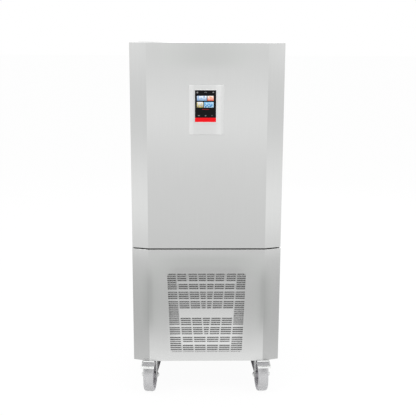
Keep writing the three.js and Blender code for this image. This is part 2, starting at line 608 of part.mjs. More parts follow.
function grilleSlots() {
  const cuts = [];
  for (const { top, slots, ribs, wide } of GRILLE_FIELD) {
    const half = (rib) => (rib === wide ? WIDE_RIB : RIB) / 2;
    for (let i = 0; i < slots; i += 1) {
      const z = SKIRT_Z + top - i * SLOT_PITCH;
      for (let k = 0; k + 1 < ribs.length; k += 1) {
        const inner = ribX(ribs[k], z) + half(ribs[k]);
        const outer = ribX(ribs[k + 1], z) - half(ribs[k + 1]);
        cuts.push(slotCut(inner, outer, z), slotCut(-outer, -inner, z));
      }
      if (ribs[0] !== 0) {
        const middle = ribX(ribs[0], z) - half(ribs[0]);
        cuts.push(slotCut(-middle, middle, z));
      }
    }
  }
  for (const { top, slots } of GRILLE_EDGES) {
    for (let i = 0; i < slots; i += 1) {
      const z = SKIRT_Z + top - i * SLOT_PITCH;
      const corner = (top === GRILLE_EDGES[0].top && i === 0)
        || (top === GRILLE_EDGES.at(-1).top && i === slots - 1);
      const inner = ribX(3, z) + RIB / 2;
      const outer = ribX(4, z) - (corner ? CORNER_CUT : 0);
      cuts.push(slotCut(inner, outer, z), slotCut(-outer, -inner, z));
    }
  }
  return cuts;
}

const SKIRT_RETURN = 15;

function frontGrillePanel() {
  const back = FRAME_Y - SEAM;
  const outer = prism(frontOutline(HALF_WIDTH, 0, back), 'z', [SKIRT_Z, LOWER_TOP]);
  const inner = prism(
    frontOutline(HALF_WIDTH, SHEET, back + PAST), 'z', [SKIRT_Z + SHEET, LOWER_TOP - SHEET]);
  const foot = prism(
    frontOutline(HALF_WIDTH, SKIRT_RETURN, back + PAST), 'z', grown([SKIRT_Z, SKIRT_Z + SHEET], PAST));
  return cut(outer, [inner, foot, ...grilleSlots()]);
}
addPiece('front_grille_panel', frontGrillePanel(), 'brushedSteel');

// ---- chassis and machinery -----------------------------------------------------------------

const CHASSIS_UPSTAND = 25;
const trayInset = SHEET + SEAM;
const chassisTop = CASTOR_HEIGHT + CHASSIS_UPSTAND;
const chassisTray = prism(
  frontOutline(HALF_WIDTH, trayInset, INNER_REAR), 'z', [CASTOR_HEIGHT, chassisTop]);
const chassisHollow = prism(
  frontOutline(HALF_WIDTH, trayInset + CHASSIS_SHEET, INNER_REAR - CHASSIS_SHEET),
  'z',
  [CASTOR_HEIGHT + CHASSIS_SHEET, chassisTop + PAST],
);
addPiece('chassis_base', chassisTray.subtract(chassisHollow), 'galvanised');

const CONDENSER_SIDE_SPACE = 145; // from its end plates to the side panels
const CONDENSER_HALF = HALF_WIDTH - CONDENSER_SIDE_SPACE;
const CONDENSER_SET_BACK = 18;
const CONDENSER_DEPTH = 60;
const CONDENSER_HEIGHT = 372;
const CONDENSER_Y = [FRONT_Y + CONDENSER_SET_BACK, FRONT_Y + CONDENSER_SET_BACK + CONDENSER_DEPTH];
const CONDENSER_Z = [MACHINE_FLOOR, MACHINE_FLOOR + CONDENSER_HEIGHT];
addPiece('condenser_coil', finnedCoil({
  x: [-CONDENSER_HALF, CONDENSER_HALF], y: CONDENSER_Y, z: CONDENSER_Z, plateY: CONDENSER_Y, bends: 4,
}), 'aluminium');

const CONDENSER_FAN_TIP = 140;
const CONDENSER_FAN_GAP = 6;
const CONDENSER_RING = CONDENSER_FAN_TIP + CONDENSER_FAN_GAP;
const COWL_DEPTH = 38;
const COWL_Y = [CONDENSER_Y[1] + SEAM, CONDENSER_Y[1] + COWL_DEPTH];
const COWL_MIDDLE = (CONDENSER_Z[0] + CONDENSER_Z[1]) / 2;
const RING_DEPTH = 28;

function condenserShroud() {
  const half = [-CONDENSER_HALF, CONDENSER_HALF];
  const centre = [0, COWL_MIDDLE];
  const ringBack = COWL_Y[1] + RING_DEPTH;
  const body = block(half, COWL_Y, CONDENSER_Z);
  const hollow = block(
    grown(half, -SHEET), [COWL_Y[0] - PAST, COWL_Y[1] - SHEET], grown(CONDENSER_Z, -SHEET));
  const ring = rod(centre, CONDENSER_RING + SHEET, 'y', [COWL_Y[1] - SHEET, ringBack], 32);
  const bore = rod(centre, CONDENSER_RING, 'y', grown([COWL_Y[0], ringBack], PAST), 32);
  return body.subtract(hollow).add(ring).subtract(bore);
}
addPiece('condenser_shroud', condenserShroud(), 'galvanised');

const CONDENSER_HUB_RADIUS = 38;
const CONDENSER_HUB_DEPTH = 34;
const CONDENSER_BLADE_CHORD = 62;
addPiece('condenser_fan', fan({
  z: COWL_MIDDLE, y: COWL_Y[1], hubRadius: CONDENSER_HUB_RADIUS, hubDepth: CONDENSER_HUB_DEPTH,
  tipRadius: CONDENSER_FAN_TIP, chord: CONDENSER_BLADE_CHORD,
}), 'fanBlack');

const CONDENSER_MOTOR_RADIUS = 45;
const CONDENSER_MOTOR_DEPTH = 75;
const CONDENSER_ARM_BEHIND = 20;
const CONDENSER_ARM_SIZE = 16;
const CONDENSER_LEG_OUT = 18;
addPiece('condenser_fan_motor', motor({
  z: COWL_MIDDLE,
  y: COWL_Y[1] + CONDENSER_HUB_DEPTH + SEAM,
  depth: CONDENSER_MOTOR_DEPTH,
  radius: CONDENSER_MOTOR_RADIUS,
  armY: COWL_Y[1] + CONDENSER_HUB_DEPTH + CONDENSER_ARM_BEHIND,
  armSize: CONDENSER_ARM_SIZE,
  legRadius: CONDENSER_RING + CONDENSER_LEG_OUT,
  plateY: COWL_Y[1] + SEAM,
}), 'blackPaint');

const COMPRESSOR_X = HALF_WIDTH - 200;
const COMPRESSOR_Y = 100;
const COMPRESSOR_RADIUS = 82;
const COMPRESSOR_HEIGHT = 215;
const FOOT_HEIGHT = 15;
const FOOT_RADIUS = 13;
const FOOT_PLACE = [90, 48]; // of each rubber foot, from the middle
const FOOTING_HALF = [105, 62];
const FOOTING_SHEET = 4;
const SHELL_FOOT = FOOT_HEIGHT + 2;
const SHELL_KNEE = 28; // how far up the shell's foot is tapered
const SEAM_LIP = 5; // the welded seam round the shell
const BOSS_OFFSET = 45; // pipe bosses on the compressor's lid, each side of its middle
const BOSS_RADIUS = 14;
const BOSS_DEPTH = 60;
const BOSS_TOP = MACHINE_FLOOR + COMPRESSOR_HEIGHT + 12;

function compressor() {
  const [r, h] = [COMPRESSOR_RADIUS, COMPRESSOR_HEIGHT];
  const shell = turned([
    [0, SHELL_FOOT], [r * 0.82, SHELL_FOOT], [r, SHELL_FOOT + SHELL_KNEE], [r, h * 0.56],
    [r + SEAM_LIP, h * 0.58], [r + SEAM_LIP, h * 0.61], [r, h * 0.63],
    [r * 0.94, h * 0.82], [r * 0.66, h * 0.97], [0, h],
  ], 16);
  const [halfX, halfY] = FOOTING_HALF;
  const footing = block([-halfX, halfX], [-halfY, halfY], [FOOT_HEIGHT, FOOT_HEIGHT + FOOTING_SHEET]);
  const feet = [[-1, -1], [1, -1], [1, 1], [-1, 1]].map(([i, j]) =>
    rod([i * FOOT_PLACE[0], j * FOOT_PLACE[1]], FOOT_RADIUS, 'z', [0, FOOT_HEIGHT + PAST], 8));
  const bosses = [-BOSS_OFFSET, BOSS_OFFSET].map((x) =>
    rod([x, 0], BOSS_RADIUS, 'z', [h - BOSS_DEPTH, BOSS_TOP - MACHINE_FLOOR], 8));
  const whole = join([shell, footing, ...feet, ...bosses]);
  return whole.translate([COMPRESSOR_X, COMPRESSOR_Y, MACHINE_FLOOR]);
}
addPiece('compressor', compressor(), 'blackPaint');

const RECEIVER_X = -120;
const RECEIVER_Y = 110;
const RECEIVER_RADIUS = 50;
const RECEIVER_FOOT = 0.6 * RECEIVER_RADIUS;
const RECEIVER_HEIGHT = 210;
const FOOT_RING = 12; // height of the ring that it stands on
const DISH = 28; // depth of its dished top
const receiverShell = turned([
  [0, 0], [RECEIVER_FOOT, 0], [RECEIVER_FOOT, FOOT_RING], [RECEIVER_RADIUS, 2 * FOOT_RING],
  [RECEIVER_RADIUS, RECEIVER_HEIGHT - DISH], [0.62 * RECEIVER_RADIUS, RECEIVER_HEIGHT - DISH / 7],
  [0, RECEIVER_HEIGHT],
], 16);
addPiece('liquid_receiver', receiverShell.translate([RECEIVER_X, RECEIVER_Y, MACHINE_FLOOR]), 'blackPaint');

const CONTROL_BOX_DEPTH = 135;
const CONTROL_BOX_SIZE = 230;
const CONTROL_BOX_FROM_REAR = 20;
const CONTROL_BOX_DROP = 31; // under the chamber's base
const boxRear = REAR_Y - CONTROL_BOX_FROM_REAR;
const boxTop = LOWER_TOP - CONTROL_BOX_DROP;
const CONTROL_BOX_Y = [boxRear - CONTROL_BOX_SIZE, boxRear];
const CONTROL_BOX_Z = [boxTop - CONTROL_BOX_SIZE, boxTop];
const LID_SHEET = 3;
const LID_OVERHANG = 3;
const boxWall = -INNER_HALF;
const boxFace = boxWall + CONTROL_BOX_DEPTH;
const boxLid = block(
  [boxFace - PAST, boxFace + LID_SHEET],
  grown(CONTROL_BOX_Y, LID_OVERHANG),
  grown(CONTROL_BOX_Z, LID_OVERHANG),
);
addPiece('control_box', block([boxWall, boxFace], CONTROL_BOX_Y, CONTROL_BOX_Z).add(boxLid), 'boxGrey');

const GLAND_REACH = 18; // out of the rear panel
const GLAND_INSIDE = 14; // and into the compartment
const GLAND_NUT = 5; // how far its nuts stand out round it
const GLAND_NUT_DEPTH = 8;
const GLAND_CAP = 3;
const GLAND_WALL = 4;
const glandRod = (radius, from, to, sides) => rod([GLAND_X, GLAND_Z], radius, 'y', [from, to], sides);
const glandEnds = [REAR_Y - GLAND_INSIDE, REAR_Y + GLAND_REACH];
const lockNutY = REAR_Y - SHEET - SEAM;
const gland = join([
  glandRod(GLAND_RADIUS, glandEnds[0], glandEnds[1] - GLAND_WALL, 12),
  glandRod(GLAND_RADIUS + GLAND_NUT, REAR_Y + SEAM, REAR_Y + GLAND_NUT_DEPTH, 6),
  glandRod(GLAND_RADIUS + GLAND_CAP, REAR_Y + GLAND_NUT_DEPTH - PAST, glandEnds[1], 10),
  glandRod(GLAND_RADIUS + GLAND_NUT, lockNutY - GLAND_NUT_DEPTH, lockNutY, 6),
]);
const glandBore = glandRod(GLAND_RADIUS - GLAND_WALL, ...grown(glandEnds, PAST), 10);
addPiece('cable_gland', gland.subtract(glandBore), 'fanBlack');

// ---- refrigerant pipes ---------------------------------------------------------------------

const PIPE_SIDES = 6;

// Straight runs between the corners, with each corner rounded by bend.
function pipe(corners, radius, bend, steps) {
  const points = corners.map((corner) => new THREE.Vector3(...corner));
  const path = new THREE.CurvePath();
  let from = points[0];
  for (let i = 1; i < points.length - 1; i += 1) {
    const before = points[i].clone().lerp(points[i - 1], bend / points[i].distanceTo(points[i - 1]));
    const after = points[i].clone().lerp(points[i + 1], bend / points[i].distanceTo(points[i + 1]));
    path.add(new THREE.LineCurve3(from, before));
    path.add(new THREE.QuadraticBezierCurve3(before, points[i], after));
    from = after;
  }
  path.add(new THREE.LineCurve3(from, points.at(-1)));
  const ring = circle([0, 0], radius, PIPE_SIDES).map(([a, b]) => new THREE.Vector2(a, b));
  const sweep = { steps, extrudePath: path, bevelEnabled: false };
  return toSolid(new THREE.ExtrudeGeometry(new THREE.Shape(ring), sweep));
}

const PIPE_BEND = 24;
const PIPE_DROP = 91; // from the chamber's base to where the pipes cross under it
const PIPE_LEVEL = LOWER_TOP - PIPE_DROP;
const SUCTION_UP = 20; // above the evaporator's foot
const suctionZ = EVAPORATOR_Z[0] + SUCTION_UP;
const [dischargeX, suctionX] = [COMPRESSOR_X - BOSS_OFFSET, COMPRESSOR_X + BOSS_OFFSET];
addPiece('suction_pipe', pipe([
  [EVAPORATOR_HALF + SEAM, SUCTION_Y, suctionZ],
  [SUCTION_X, SUCTION_Y, suctionZ],
  [SUCTION_X, SUCTION_Y, PIPE_LEVEL],
  [suctionX, COMPRESSOR_Y, PIPE_LEVEL],
  [suctionX, COMPRESSOR_Y, BOSS_TOP + SEAM],
], SUCTION_RADIUS, PIPE_BEND, 30), 'copper');

const DISCHARGE_RADIUS = 6;
const condenserMiddleY = (CONDENSER_Y[0] + CONDENSER_Y[1]) / 2;
addPiece('discharge_pipe', pipe([
  [dischargeX, COMPRESSOR_Y, BOSS_TOP + SEAM],
  [dischargeX, COMPRESSOR_Y, PIPE_LEVEL],
  [dischargeX, condenserMiddleY, PIPE_LEVEL],
  [dischargeX, condenserMiddleY, CONDENSER_Z[1] - FINS_SHORT + SEAM],
], DISCHARGE_RADIUS, PIPE_BEND, 26), 'copper');

// ---- castors -------------------------------------------------------------------------------

const RACE_DEPTH = 14; // fixed race with its plate, under the chassis
const RACE_SPLIT = CASTOR_HEIGHT - RACE_DEPTH; // level between the turning and the fixed race
const RACE_RADIUS = 31;
const MOUNT_PLATE = 4;
const PLATE_HALF = [67.5, 55];
const CROWN_DROP = 12; // from the race split to the fork's crown
const CROWN_SHEET = 4;
const CROWN_Z = [RACE_SPLIT - CROWN_DROP - CROWN_SHEET, RACE_SPLIT - CROWN_DROP];
const WHEEL_HEADROOM = 10; // between the tyre and the crown
const WHEEL_RADIUS = (CROWN_Z[0] - WHEEL_HEADROOM) / 2;
const TREAD = 50;
const TYRE_THICK = 20;
const TYRE_SEAT = WHEEL_RADIUS - TYRE_THICK; // radius where the tyre sits on the rim
const TRAIL = 35; // from the swivel axis to the axle
const FORK_SHEET = 3.5;
const FORK_GAP = 5; // from the tyre to each leg
const LEG_INNER = TREAD / 2 + FORK_GAP;
const LEG_OUTER = LEG_INNER + FORK_SHEET;
const CROWN_FRONT = -50; // the crown's edges, from the swivel axis
const CROWN_BACK = 50;
const BOSS_AT_AXLE = 16; // radius of a leg's end round the axle
const AXLE_RADIUS = 6;
const AXLE_OUT = 9; // how far it stands out of the legs
const NUT_RADIUS = 9.5;
const NUT_DEPTH = 6;
const PEDAL_WIDTH = 65;
const PEDAL_SHEET = 3;
const PEDAL_TOP = CROWN_Z[0] - 2;
const PEDAL_PIVOT = [-31, PEDAL_TOP - PEDAL_SHEET]; // (y, z)
const PEDAL_PIN = 3;
const PEDAL_BEND_Y = -64; // the pedal slopes down from here
const PEDAL_REACH = 97.2; // in front of the axle
const PEDAL_SLOPE = 9;
const PEDAL_LIP = [-TRAIL - PEDAL_REACH, PEDAL_TOP - PEDAL_SLOPE]; // (y, z) of the lip's upper edge
const LIP_DROP = 7;

function castorPlate() {
  const [halfX, halfY] = PLATE_HALF;
  const top = CASTOR_HEIGHT - SEAM;
  const plate = block([-halfX, halfX], [-halfY, halfY], [top - MOUNT_PLATE, top]);
  const race = rod([0, 0], RACE_RADIUS - 4, 'z', [RACE_SPLIT + SEAM, top - 1], 16);
  return plate.add(race);
}

function castorFork(braked) {
  const leg = [
    [CROWN_BACK, CROWN_Z[1]], [CROWN_FRONT, CROWN_Z[1]],
    ...arc([-TRAIL, WHEEL_RADIUS], BOSS_AT_AXLE, -Math.PI, 0, 6), [CROWN_BACK, CROWN_Z[0] - 6],
  ];
  const legs = [[-LEG_OUTER, -LEG_INNER], [LEG_INNER, LEG_OUTER]].map((x) => prism(leg, 'x', x));
  const crown = block([-LEG_OUTER, LEG_OUTER], [CROWN_FRONT, CROWN_BACK], CROWN_Z);
  const race = rod([0, 0], RACE_RADIUS, 'z', [CROWN_Z[1] - 1, RACE_SPLIT], 16);
  const across = grown([-LEG_OUTER, LEG_OUTER], PAST);
  const axleHoles = rod([-TRAIL, WHEEL_RADIUS], AXLE_RADIUS + SEAM, 'x', across);
  const pivotHoles = braked ? [rod(PEDAL_PIVOT, PEDAL_PIN + SEAM, 'x', across, 8)] : [];
  return cut(join([...legs, crown, race]), [axleHoles, ...pivotHoles]);
}

// Wheel pieces are turned about z and then laid along x.
const wheelPiece = (profile, sides) =>
  turned(profile, sides).rotate([0, 90, 0]).translate([0, -TRAIL, WHEEL_RADIUS]);

function castorTyre() {
  const SIDES = 24;
  const outer = WHEEL_RADIUS / Math.cos(Math.PI / SIDES);
  const half = TREAD / 2;
  const seat = TYRE_SEAT + 2 * SEAM;
  return wheelPiece([
    [seat, -half + 4], [outer - 10, -half], [outer - 3, -half + 4], [outer, -half + 11],
    [outer, half - 11], [outer - 3, half - 4], [outer - 10, half], [seat, half - 4], [seat, -half + 4],
  ], SIDES);
}

function castorRim() {
  const hub = AXLE_RADIUS + 2 * SEAM;
  const hubHalf = LEG_INNER - SEAM;
  const half = TREAD / 2 - 5;
  const [hubFace, hubFoot, web] = [16, 19, 6];
  const [well, lip] = [TYRE_SEAT - 14, TYRE_SEAT - 9];
  return wheelPiece([
    [hub, -hubHalf], [hubFace, -hubHalf], [hubFoot, -web], [well, -web], [lip, -half], [TYRE_SEAT, -half],
    [TYRE_SEAT, half], [lip, half], [well, web], [hubFoot, web], [hubFace, hubHalf], [hub, hubHalf],
    [hub, -hubHalf],
  ], 16);
}

function castorAxle() {
  const centre = [-TRAIL, WHEEL_RADIUS];
  const reach = LEG_OUTER + SEAM;
  return join([
    rod(centre, AXLE_RADIUS, 'x', grown([-reach, reach], AXLE_OUT)),
    rod(centre, NUT_RADIUS, 'x', [-reach - NUT_DEPTH, -reach], 6),
    rod(centre, NUT_RADIUS, 'x', [reach, reach + NUT_DEPTH], 6),
  ]);
}

function brakePedal() {
  const under = PEDAL_TOP - PEDAL_SHEET;
  const [lipY, lipZ] = PEDAL_LIP;
  const back = PEDAL_PIVOT[0] + 1;
  const plate = prism([
    [back, PEDAL_TOP], [PEDAL_BEND_Y, PEDAL_TOP], [lipY, lipZ], [lipY, lipZ - LIP_DROP],
    [lipY + PEDAL_SHEET, lipZ - LIP_DROP], [lipY + PEDAL_SHEET, lipZ - PEDAL_SHEET],
    [PEDAL_BEND_Y, under], [back, under],
  ], 'x', [-PEDAL_WIDTH / 2, PEDAL_WIDTH / 2]);
  const inFork = LEG_INNER - 1.5;
  const beside = [[-PEDAL_WIDTH, -inFork], [inFork, PEDAL_WIDTH]].map((x) =>
    block(x, [CROWN_FRONT - 12, CROWN_BACK], [under - PAST, PEDAL_TOP + PAST]));
  const barrel = rod(PEDAL_PIVOT, PEDAL_PIN + 1, 'x', [-inFork, inFork], 8);
  const pin = rod(PEDAL_PIVOT, PEDAL_PIN, 'x', [-LEG_OUTER - 2, LEG_OUTER + 2], 8);
  return join([cut(plate, beside), barrel, pin]);
}

const CASTOR_FROM_SIDE = 81;
const CASTOR_FROM_FRONT = 88;
const CASTOR_FROM_REAR = 83;
const castorX = HALF_WIDTH - CASTOR_FROM_SIDE;
const [frontY, rearY] = [FRONT_Y + CASTOR_FROM_FRONT, REAR_Y - CASTOR_FROM_REAR];
const CASTORS = [
  { place: 'front_left', x: -castorX, y: frontY, turn: -6, braked: true },
  { place: 'front_right', x: castorX, y: frontY, turn: 4.5, braked: true },
  { place: 'rear_left', x: -castorX, y: rearY, turn: -5, braked: false },
  { place: 'rear_right', x: castorX, y: rearY, turn: 8, braked: false },
];

for (const { place, x, y, turn, braked } of CASTORS) {
  const fixed = new THREE.Group();
  fixed.position.set(x, y, 0);
  addPiece(`castor_plate_${place}`, castorPlate(), 'brightSteel', fixed);
  const swivel = new THREE.Group();
  swivel.rotation.z = THREE.MathUtils.degToRad(turn);
  addPiece(`castor_fork_${place}`, castorFork(braked), 'brightSteel', swivel);
  addPiece(`castor_tyre_${place}`, castorTyre(), 'tyre', swivel);
  addPiece(`castor_rim_${place}`, castorRim(), 'rim', swivel);
  addPiece(`castor_axle_${place}`, castorAxle(), 'brightSteel', swivel);
  if (braked) addPiece(`brake_pedal_${place}`, brakePedal(), 'brightSteel', swivel);
  fixed.add(swivel);
  chiller.add(fixed);
}

export default chiller;
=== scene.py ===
import json
import math

import bmesh
import bpy
from mathutils import Matrix, Vector


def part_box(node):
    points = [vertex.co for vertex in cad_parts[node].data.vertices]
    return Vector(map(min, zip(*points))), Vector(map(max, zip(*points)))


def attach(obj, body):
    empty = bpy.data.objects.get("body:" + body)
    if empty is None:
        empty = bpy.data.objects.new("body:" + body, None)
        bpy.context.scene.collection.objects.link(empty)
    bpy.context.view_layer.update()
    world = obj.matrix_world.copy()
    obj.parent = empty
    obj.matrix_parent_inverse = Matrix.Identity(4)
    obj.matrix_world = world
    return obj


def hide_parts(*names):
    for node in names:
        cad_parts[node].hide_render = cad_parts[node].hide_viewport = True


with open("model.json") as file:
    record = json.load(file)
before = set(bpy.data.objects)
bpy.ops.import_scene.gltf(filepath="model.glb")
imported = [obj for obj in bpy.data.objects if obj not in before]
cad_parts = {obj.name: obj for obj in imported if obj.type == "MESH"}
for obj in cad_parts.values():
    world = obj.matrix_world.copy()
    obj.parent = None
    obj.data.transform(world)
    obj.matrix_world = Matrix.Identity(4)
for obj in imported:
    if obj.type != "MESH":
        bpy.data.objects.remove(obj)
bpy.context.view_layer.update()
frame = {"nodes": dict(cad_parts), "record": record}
scene = bpy.context.scene
scene.view_settings.view_transform = "Standard"

# ---- Studio ---------------------------------------------------------------------------------
# The chiller stands on a pale floor that runs into a white background, seen from a little above
# the middle of its door. A camera with a long lens stands about four metres in front of it.

CAMERA_PLACE = (-0.0674, -3.928, 1.7207)
CAMERA_PITCH = math.radians(12.49)
CAMERA_YAW = math.radians(1.17)
CAMERA_ROLL = math.radians(0.261)
CAMERA_LENS = 68.27

camera_data = bpy.data.cameras.new("studio_camera")
camera_data.lens = CAMERA_LENS
camera_data.sensor_width = 36
camera_data.clip_end = 200
camera = bpy.data.objects.new("studio_camera", camera_data)
scene.collection.objects.link(camera)
camera.matrix_world = (
    Matrix.Translation(CAMERA_PLACE)
    @ Matrix.Rotation(-CAMERA_YAW, 4, "Z")
    @ Matrix.Rotation(math.pi / 2 - CAMERA_PITCH, 4, "X")
    @ Matrix.Rotation(CAMERA_ROLL, 4, "Z")
)
scene.camera = camera


def node_in(tree, kind, inputs=(), **settings):
    """One node of a tree, with its settings, and a value or a socket for each input named."""
    node = tree.nodes.new(kind)
    for key, value in settings.items():
        setattr(node, key, value)
    for key, value in dict(inputs).items():
        if isinstance(value, bpy.types.NodeSocket):
            tree.links.new(value, node.inputs[key])
        else:
            node.inputs[key].default_value = value
    return node


def math_in(tree, operation, *values):
    """A Math node's result."""
    return node_in(tree, "ShaderNodeMath", dict(enumerate(values)), operation=operation).outputs[0]


def emptied_tree(owner):
    """The node tree of a world or a material, with nothing in it."""
    owner.use_nodes = True
    owner.node_tree.nodes.clear()
    return owner.node_tree


def seen_directly(tree):
    """1 for camera, glossy and transmission rays, which see the white background."""
    path = node_in(tree, "ShaderNodeLightPath").outputs
    either = math_in(tree, "MAXIMUM", path["Is Camera Ray"], path["Is Glossy Ray"])
    return math_in(tree, "MAXIMUM", either, path["Is Transmission Ray"])


WHITE = (1, 1, 1, 1)
SKY_LIGHT = 0.62
world = bpy.data.worlds.new("studio")
sky_tree = emptied_tree(world)
sky = node_in(sky_tree, "ShaderNodeBackground", {"Color": WHITE, "Strength": SKY_LIGHT})
white = node_in(sky_tree, "ShaderNodeBackground", {"Color": WHITE, "Strength": 1})
either_sky = node_in(sky_tree, "ShaderNodeMixShader", {
    0: seen_directly(sky_tree), 1: sky.outputs[0], 2: white.outputs[0]})
node_in(sky_tree, "ShaderNodeOutputWorld", {"Surface": either_sky.outputs[0]})
scene.world = world

FLOOR_HALF = 60
FLOOR_PAPER = (0.9, 0.9, 0.9, 1)
FLOOR_LIGHT = 1.02
FLOOR_GLOW = 0.93  # share of the floor that shows plain white and takes no shadow
floor_finish = bpy.data.materials.new("studio_floor")
floor_tree = emptied_tree(floor_finish)
paper = node_in(floor_tree, "ShaderNodeBsdfDiffuse", {"Color": FLOOR_PAPER})
glow = node_in(floor_tree, "ShaderNodeEmission", {"Color": WHITE, "Strength": FLOOR_LIGHT})
lit_paper = node_in(floor_tree, "ShaderNodeMixShader", {
    0: math_in(floor_tree, "MULTIPLY", seen_directly(floor_tree), FLOOR_GLOW),
    1: paper.outputs[0], 2: glow.outputs[0]})
node_in(floor_tree, "ShaderNodeOutputMaterial", {"Surface": lit_paper.outputs[0]})
floor_mesh = bpy.data.meshes.new("floor")
floor_mesh.from_pydata([(-1, -1, 0), (1, -1, 0), (1, 1, 0), (-1, 1, 0)], [], [(0, 1, 2, 3)])
floor_mesh.transform(Matrix.Scale(FLOOR_HALF, 4))
floor_mesh.materials.append(floor_finish)
floor = bpy.data.objects.new("floor", floor_mesh)
scene.collection.objects.link(floor)


def soft_box(name, place, aim, size, watts):
    """A large square studio lamp at place, turned towards aim."""
    data = bpy.data.lights.new(name, "AREA")
    data.shape = "SQUARE"
    data.size = size
    data.energy = watts
    lamp = bpy.data.objects.new(name, data)
    scene.collection.objects.link(lamp)
    lamp.location = place
    lamp.rotation_euler = (Vector(aim) - Vector(place)).to_track_quat("-Z", "Y").to_euler()


BODY_MIDDLE = (0, 0, 0.9)
BODY_SHOULDER = (0, 0, 1.2)
soft_box("lamp_left", (-2.4, -2.7, 4.3), BODY_MIDDLE, size=2.2, watts=50)
soft_box("lamp_right", (2.7, -2.3, 3.9), BODY_MIDDLE, size=2.0, watts=37)
soft_box("lamp_top", (0, 0.2, 4.4), BODY_SHOULDER, size=2.6, watts=34)
soft_box("lamp_rear", (0.8, 4.2, 2.8), BODY_MIDDLE, size=2.4, watts=34)

# ---- Stainless sheet ------------------------------------------------------------------------
# The door, the fronts and the cabinet's sides are cold-rolled stainless sheet, folded at the corners,
# with a fine brushed grain that runs up the panels and slow clouds of light and dark. Soft bands of
# lighter and darker grey on the fronts, sides and back are painted reflections.


def new_group(name, kind, ins, outs):
    """A node group with named inputs and outputs: the tree, its input and its output sockets."""
    tree = bpy.data.node_groups.new(name, kind)
    for label, socket_kind in ins.items():
        tree.interface.new_socket(label, in_out="INPUT", socket_type="NodeSocket" + socket_kind)
    for label, socket_kind in outs.items():
        tree.interface.new_socket(label, in_out="OUTPUT", socket_type="NodeSocket" + socket_kind)
    return tree, tree.nodes.new("NodeGroupInput").outputs, tree.nodes.new("NodeGroupOutput").inputs


def noise_in(tree, vector, scale, detail=2.0):
    """A noise from -0.5 to 0.5."""
    noise = node_in(tree, "ShaderNodeTexNoise", {"Vector": vector, "Scale": scale, "Detail": detail})
    return math_in(tree, "ADD", noise.outputs[0], -0.5)


def colour_times(tree, colour, factor):
    """A colour made lighter or darker by a factor."""
    scaled = node_in(tree, "ShaderNodeVectorMath", {0: colour, "Scale": factor}, operation="SCALE")
    return scaled.outputs[0]


SURFACE_OUT = {"Colour": "Color", "Roughness": "Float", "Height": "Float"}
BUMP_STRENGTH = 0.35


def surface_group(name, **inputs):
    """A group that turns a place and a colour into a finish's colour, roughness and height."""
    return new_group(name, "ShaderNodeTree", {
        "Place": "Vector", "Colour": "Color", "Roughness": "Float", **inputs}, SURFACE_OUT)


def surface_links(tree, ins, outs, level, rough, share, height):
    """Lightens the colour by a level, roughens by a share of a pattern, and gives the height."""
    tree.links.new(colour_times(tree, ins["Colour"], level), outs["Colour"])
    tree.links.new(math_in(tree, "MULTIPLY_ADD", rough, share, ins["Roughness"]), outs["Roughness"])
    tree.links.new(height, outs["Height"])


GRAIN, grain_in, grain_out = surface_group(
    "brushed_grain", Stretch="Vector", Lines="Float", Clouds="Float")
drawn = node_in(GRAIN, "ShaderNodeVectorMath", {
    0: grain_in["Place"], 1: grain_in["Stretch"]}, operation="MULTIPLY")
lines = noise_in(GRAIN, drawn.outputs[0], scale=1.0, detail=3.0)
clouds = noise_in(GRAIN, grain_in["Place"], scale=2.6)
level = math_in(GRAIN, "MULTIPLY_ADD", lines, grain_in["Lines"], 1.0)
level = math_in(GRAIN, "MULTIPLY_ADD", clouds, grain_in["Clouds"], level)
surface_links(GRAIN, grain_in, grain_out, level, rough=lines, share=0.18, height=lines)

# How finely the grain is drawn along each axis: it runs along the one with the small number.
UPWARDS = (420, 420, 5)
SIDEWAYS = (5, 420, 420)
FRONT_TO_BACK = (420, 5, 420)


def finish_with(name, group, colour, metallic=0.0, relief=0.00002, **values):
    """A material: a group's pattern, in a colour or in those that a shade(tree, place) gives."""
    made = bpy.data.materials.new(name)
    tree = emptied_tree(made)
    place = node_in(tree, "ShaderNodeTexCoord").outputs["Object"]
    pattern = node_in(tree, "ShaderNodeGroup", {
        "Place": place, "Colour": colour(tree, place) if callable(colour) else (*colour, 1), **values,
    }, node_tree=group)
    height = node_in(tree, "ShaderNodeBump", {
        "Strength": BUMP_STRENGTH, "Distance": relief, "Height": pattern.outputs["Height"]})
    shader = node_in(tree, "ShaderNodeBsdfPrincipled", {
        "Base Color": pattern.outputs["Colour"], "Roughness": pattern.outputs["Roughness"],
        "Metallic": metallic, "Normal": height.outputs[0],
    })
    node_in(tree, "ShaderNodeOutputMaterial", {"Surface": shader.outputs[0]})
    return made


PLAIN_TINT = 1.01  # steel's grey is a touch green
BAND_TINT = 1.008


def steel(name, grey, roughness, stretch=UPWARDS, lines=0.07, clouds=0.05):
    """Brushed stainless steel of one grey, or of the greys that a shade gives."""
    colour = grey if callable(grey) else (grey, PLAIN_TINT * grey, grey)
    return finish_with(
        name, GRAIN, colour, metallic=1.0,
        Stretch=stretch, Roughness=roughness, Lines=lines, Clouds=clouds)


def axes_of(tree, vector):
    """The X, Y and Z of a vector."""
    return node_in(tree, "ShaderNodeSeparateXYZ", {0: vector}).outputs


def bands(tree, distance, stops):
    """A grey that changes slowly with a distance in metres: stops of (distance, grey)."""
    low, high = stops[0][0], stops[-1][0]
    share = node_in(tree, "ShaderNodeMapRange", {"Value": distance, "From Min": low, "From Max": high})
    ramp = node_in(tree, "ShaderNodeValToRGB", {"Fac": share.outputs[0]})
    ramp.color_ramp.interpolation = "B_SPLINE"
    points = ramp.color_ramp.elements
    while len(points) < len(stops):
        points.new(0.5)
    for point, (stop, grey) in zip(points, stops):
        point.position = (stop - low) / (high - low)
        point.color = (grey, BAND_TINT * grey, grey, 1)
    return ramp.outputs["Color"]


def shade_along(axis, stops):
    """Greys that change slowly along an axis of a sheet, as painted light and shade."""
    return lambda tree, place: bands(tree, axes_of(tree, place)[axis], stops)
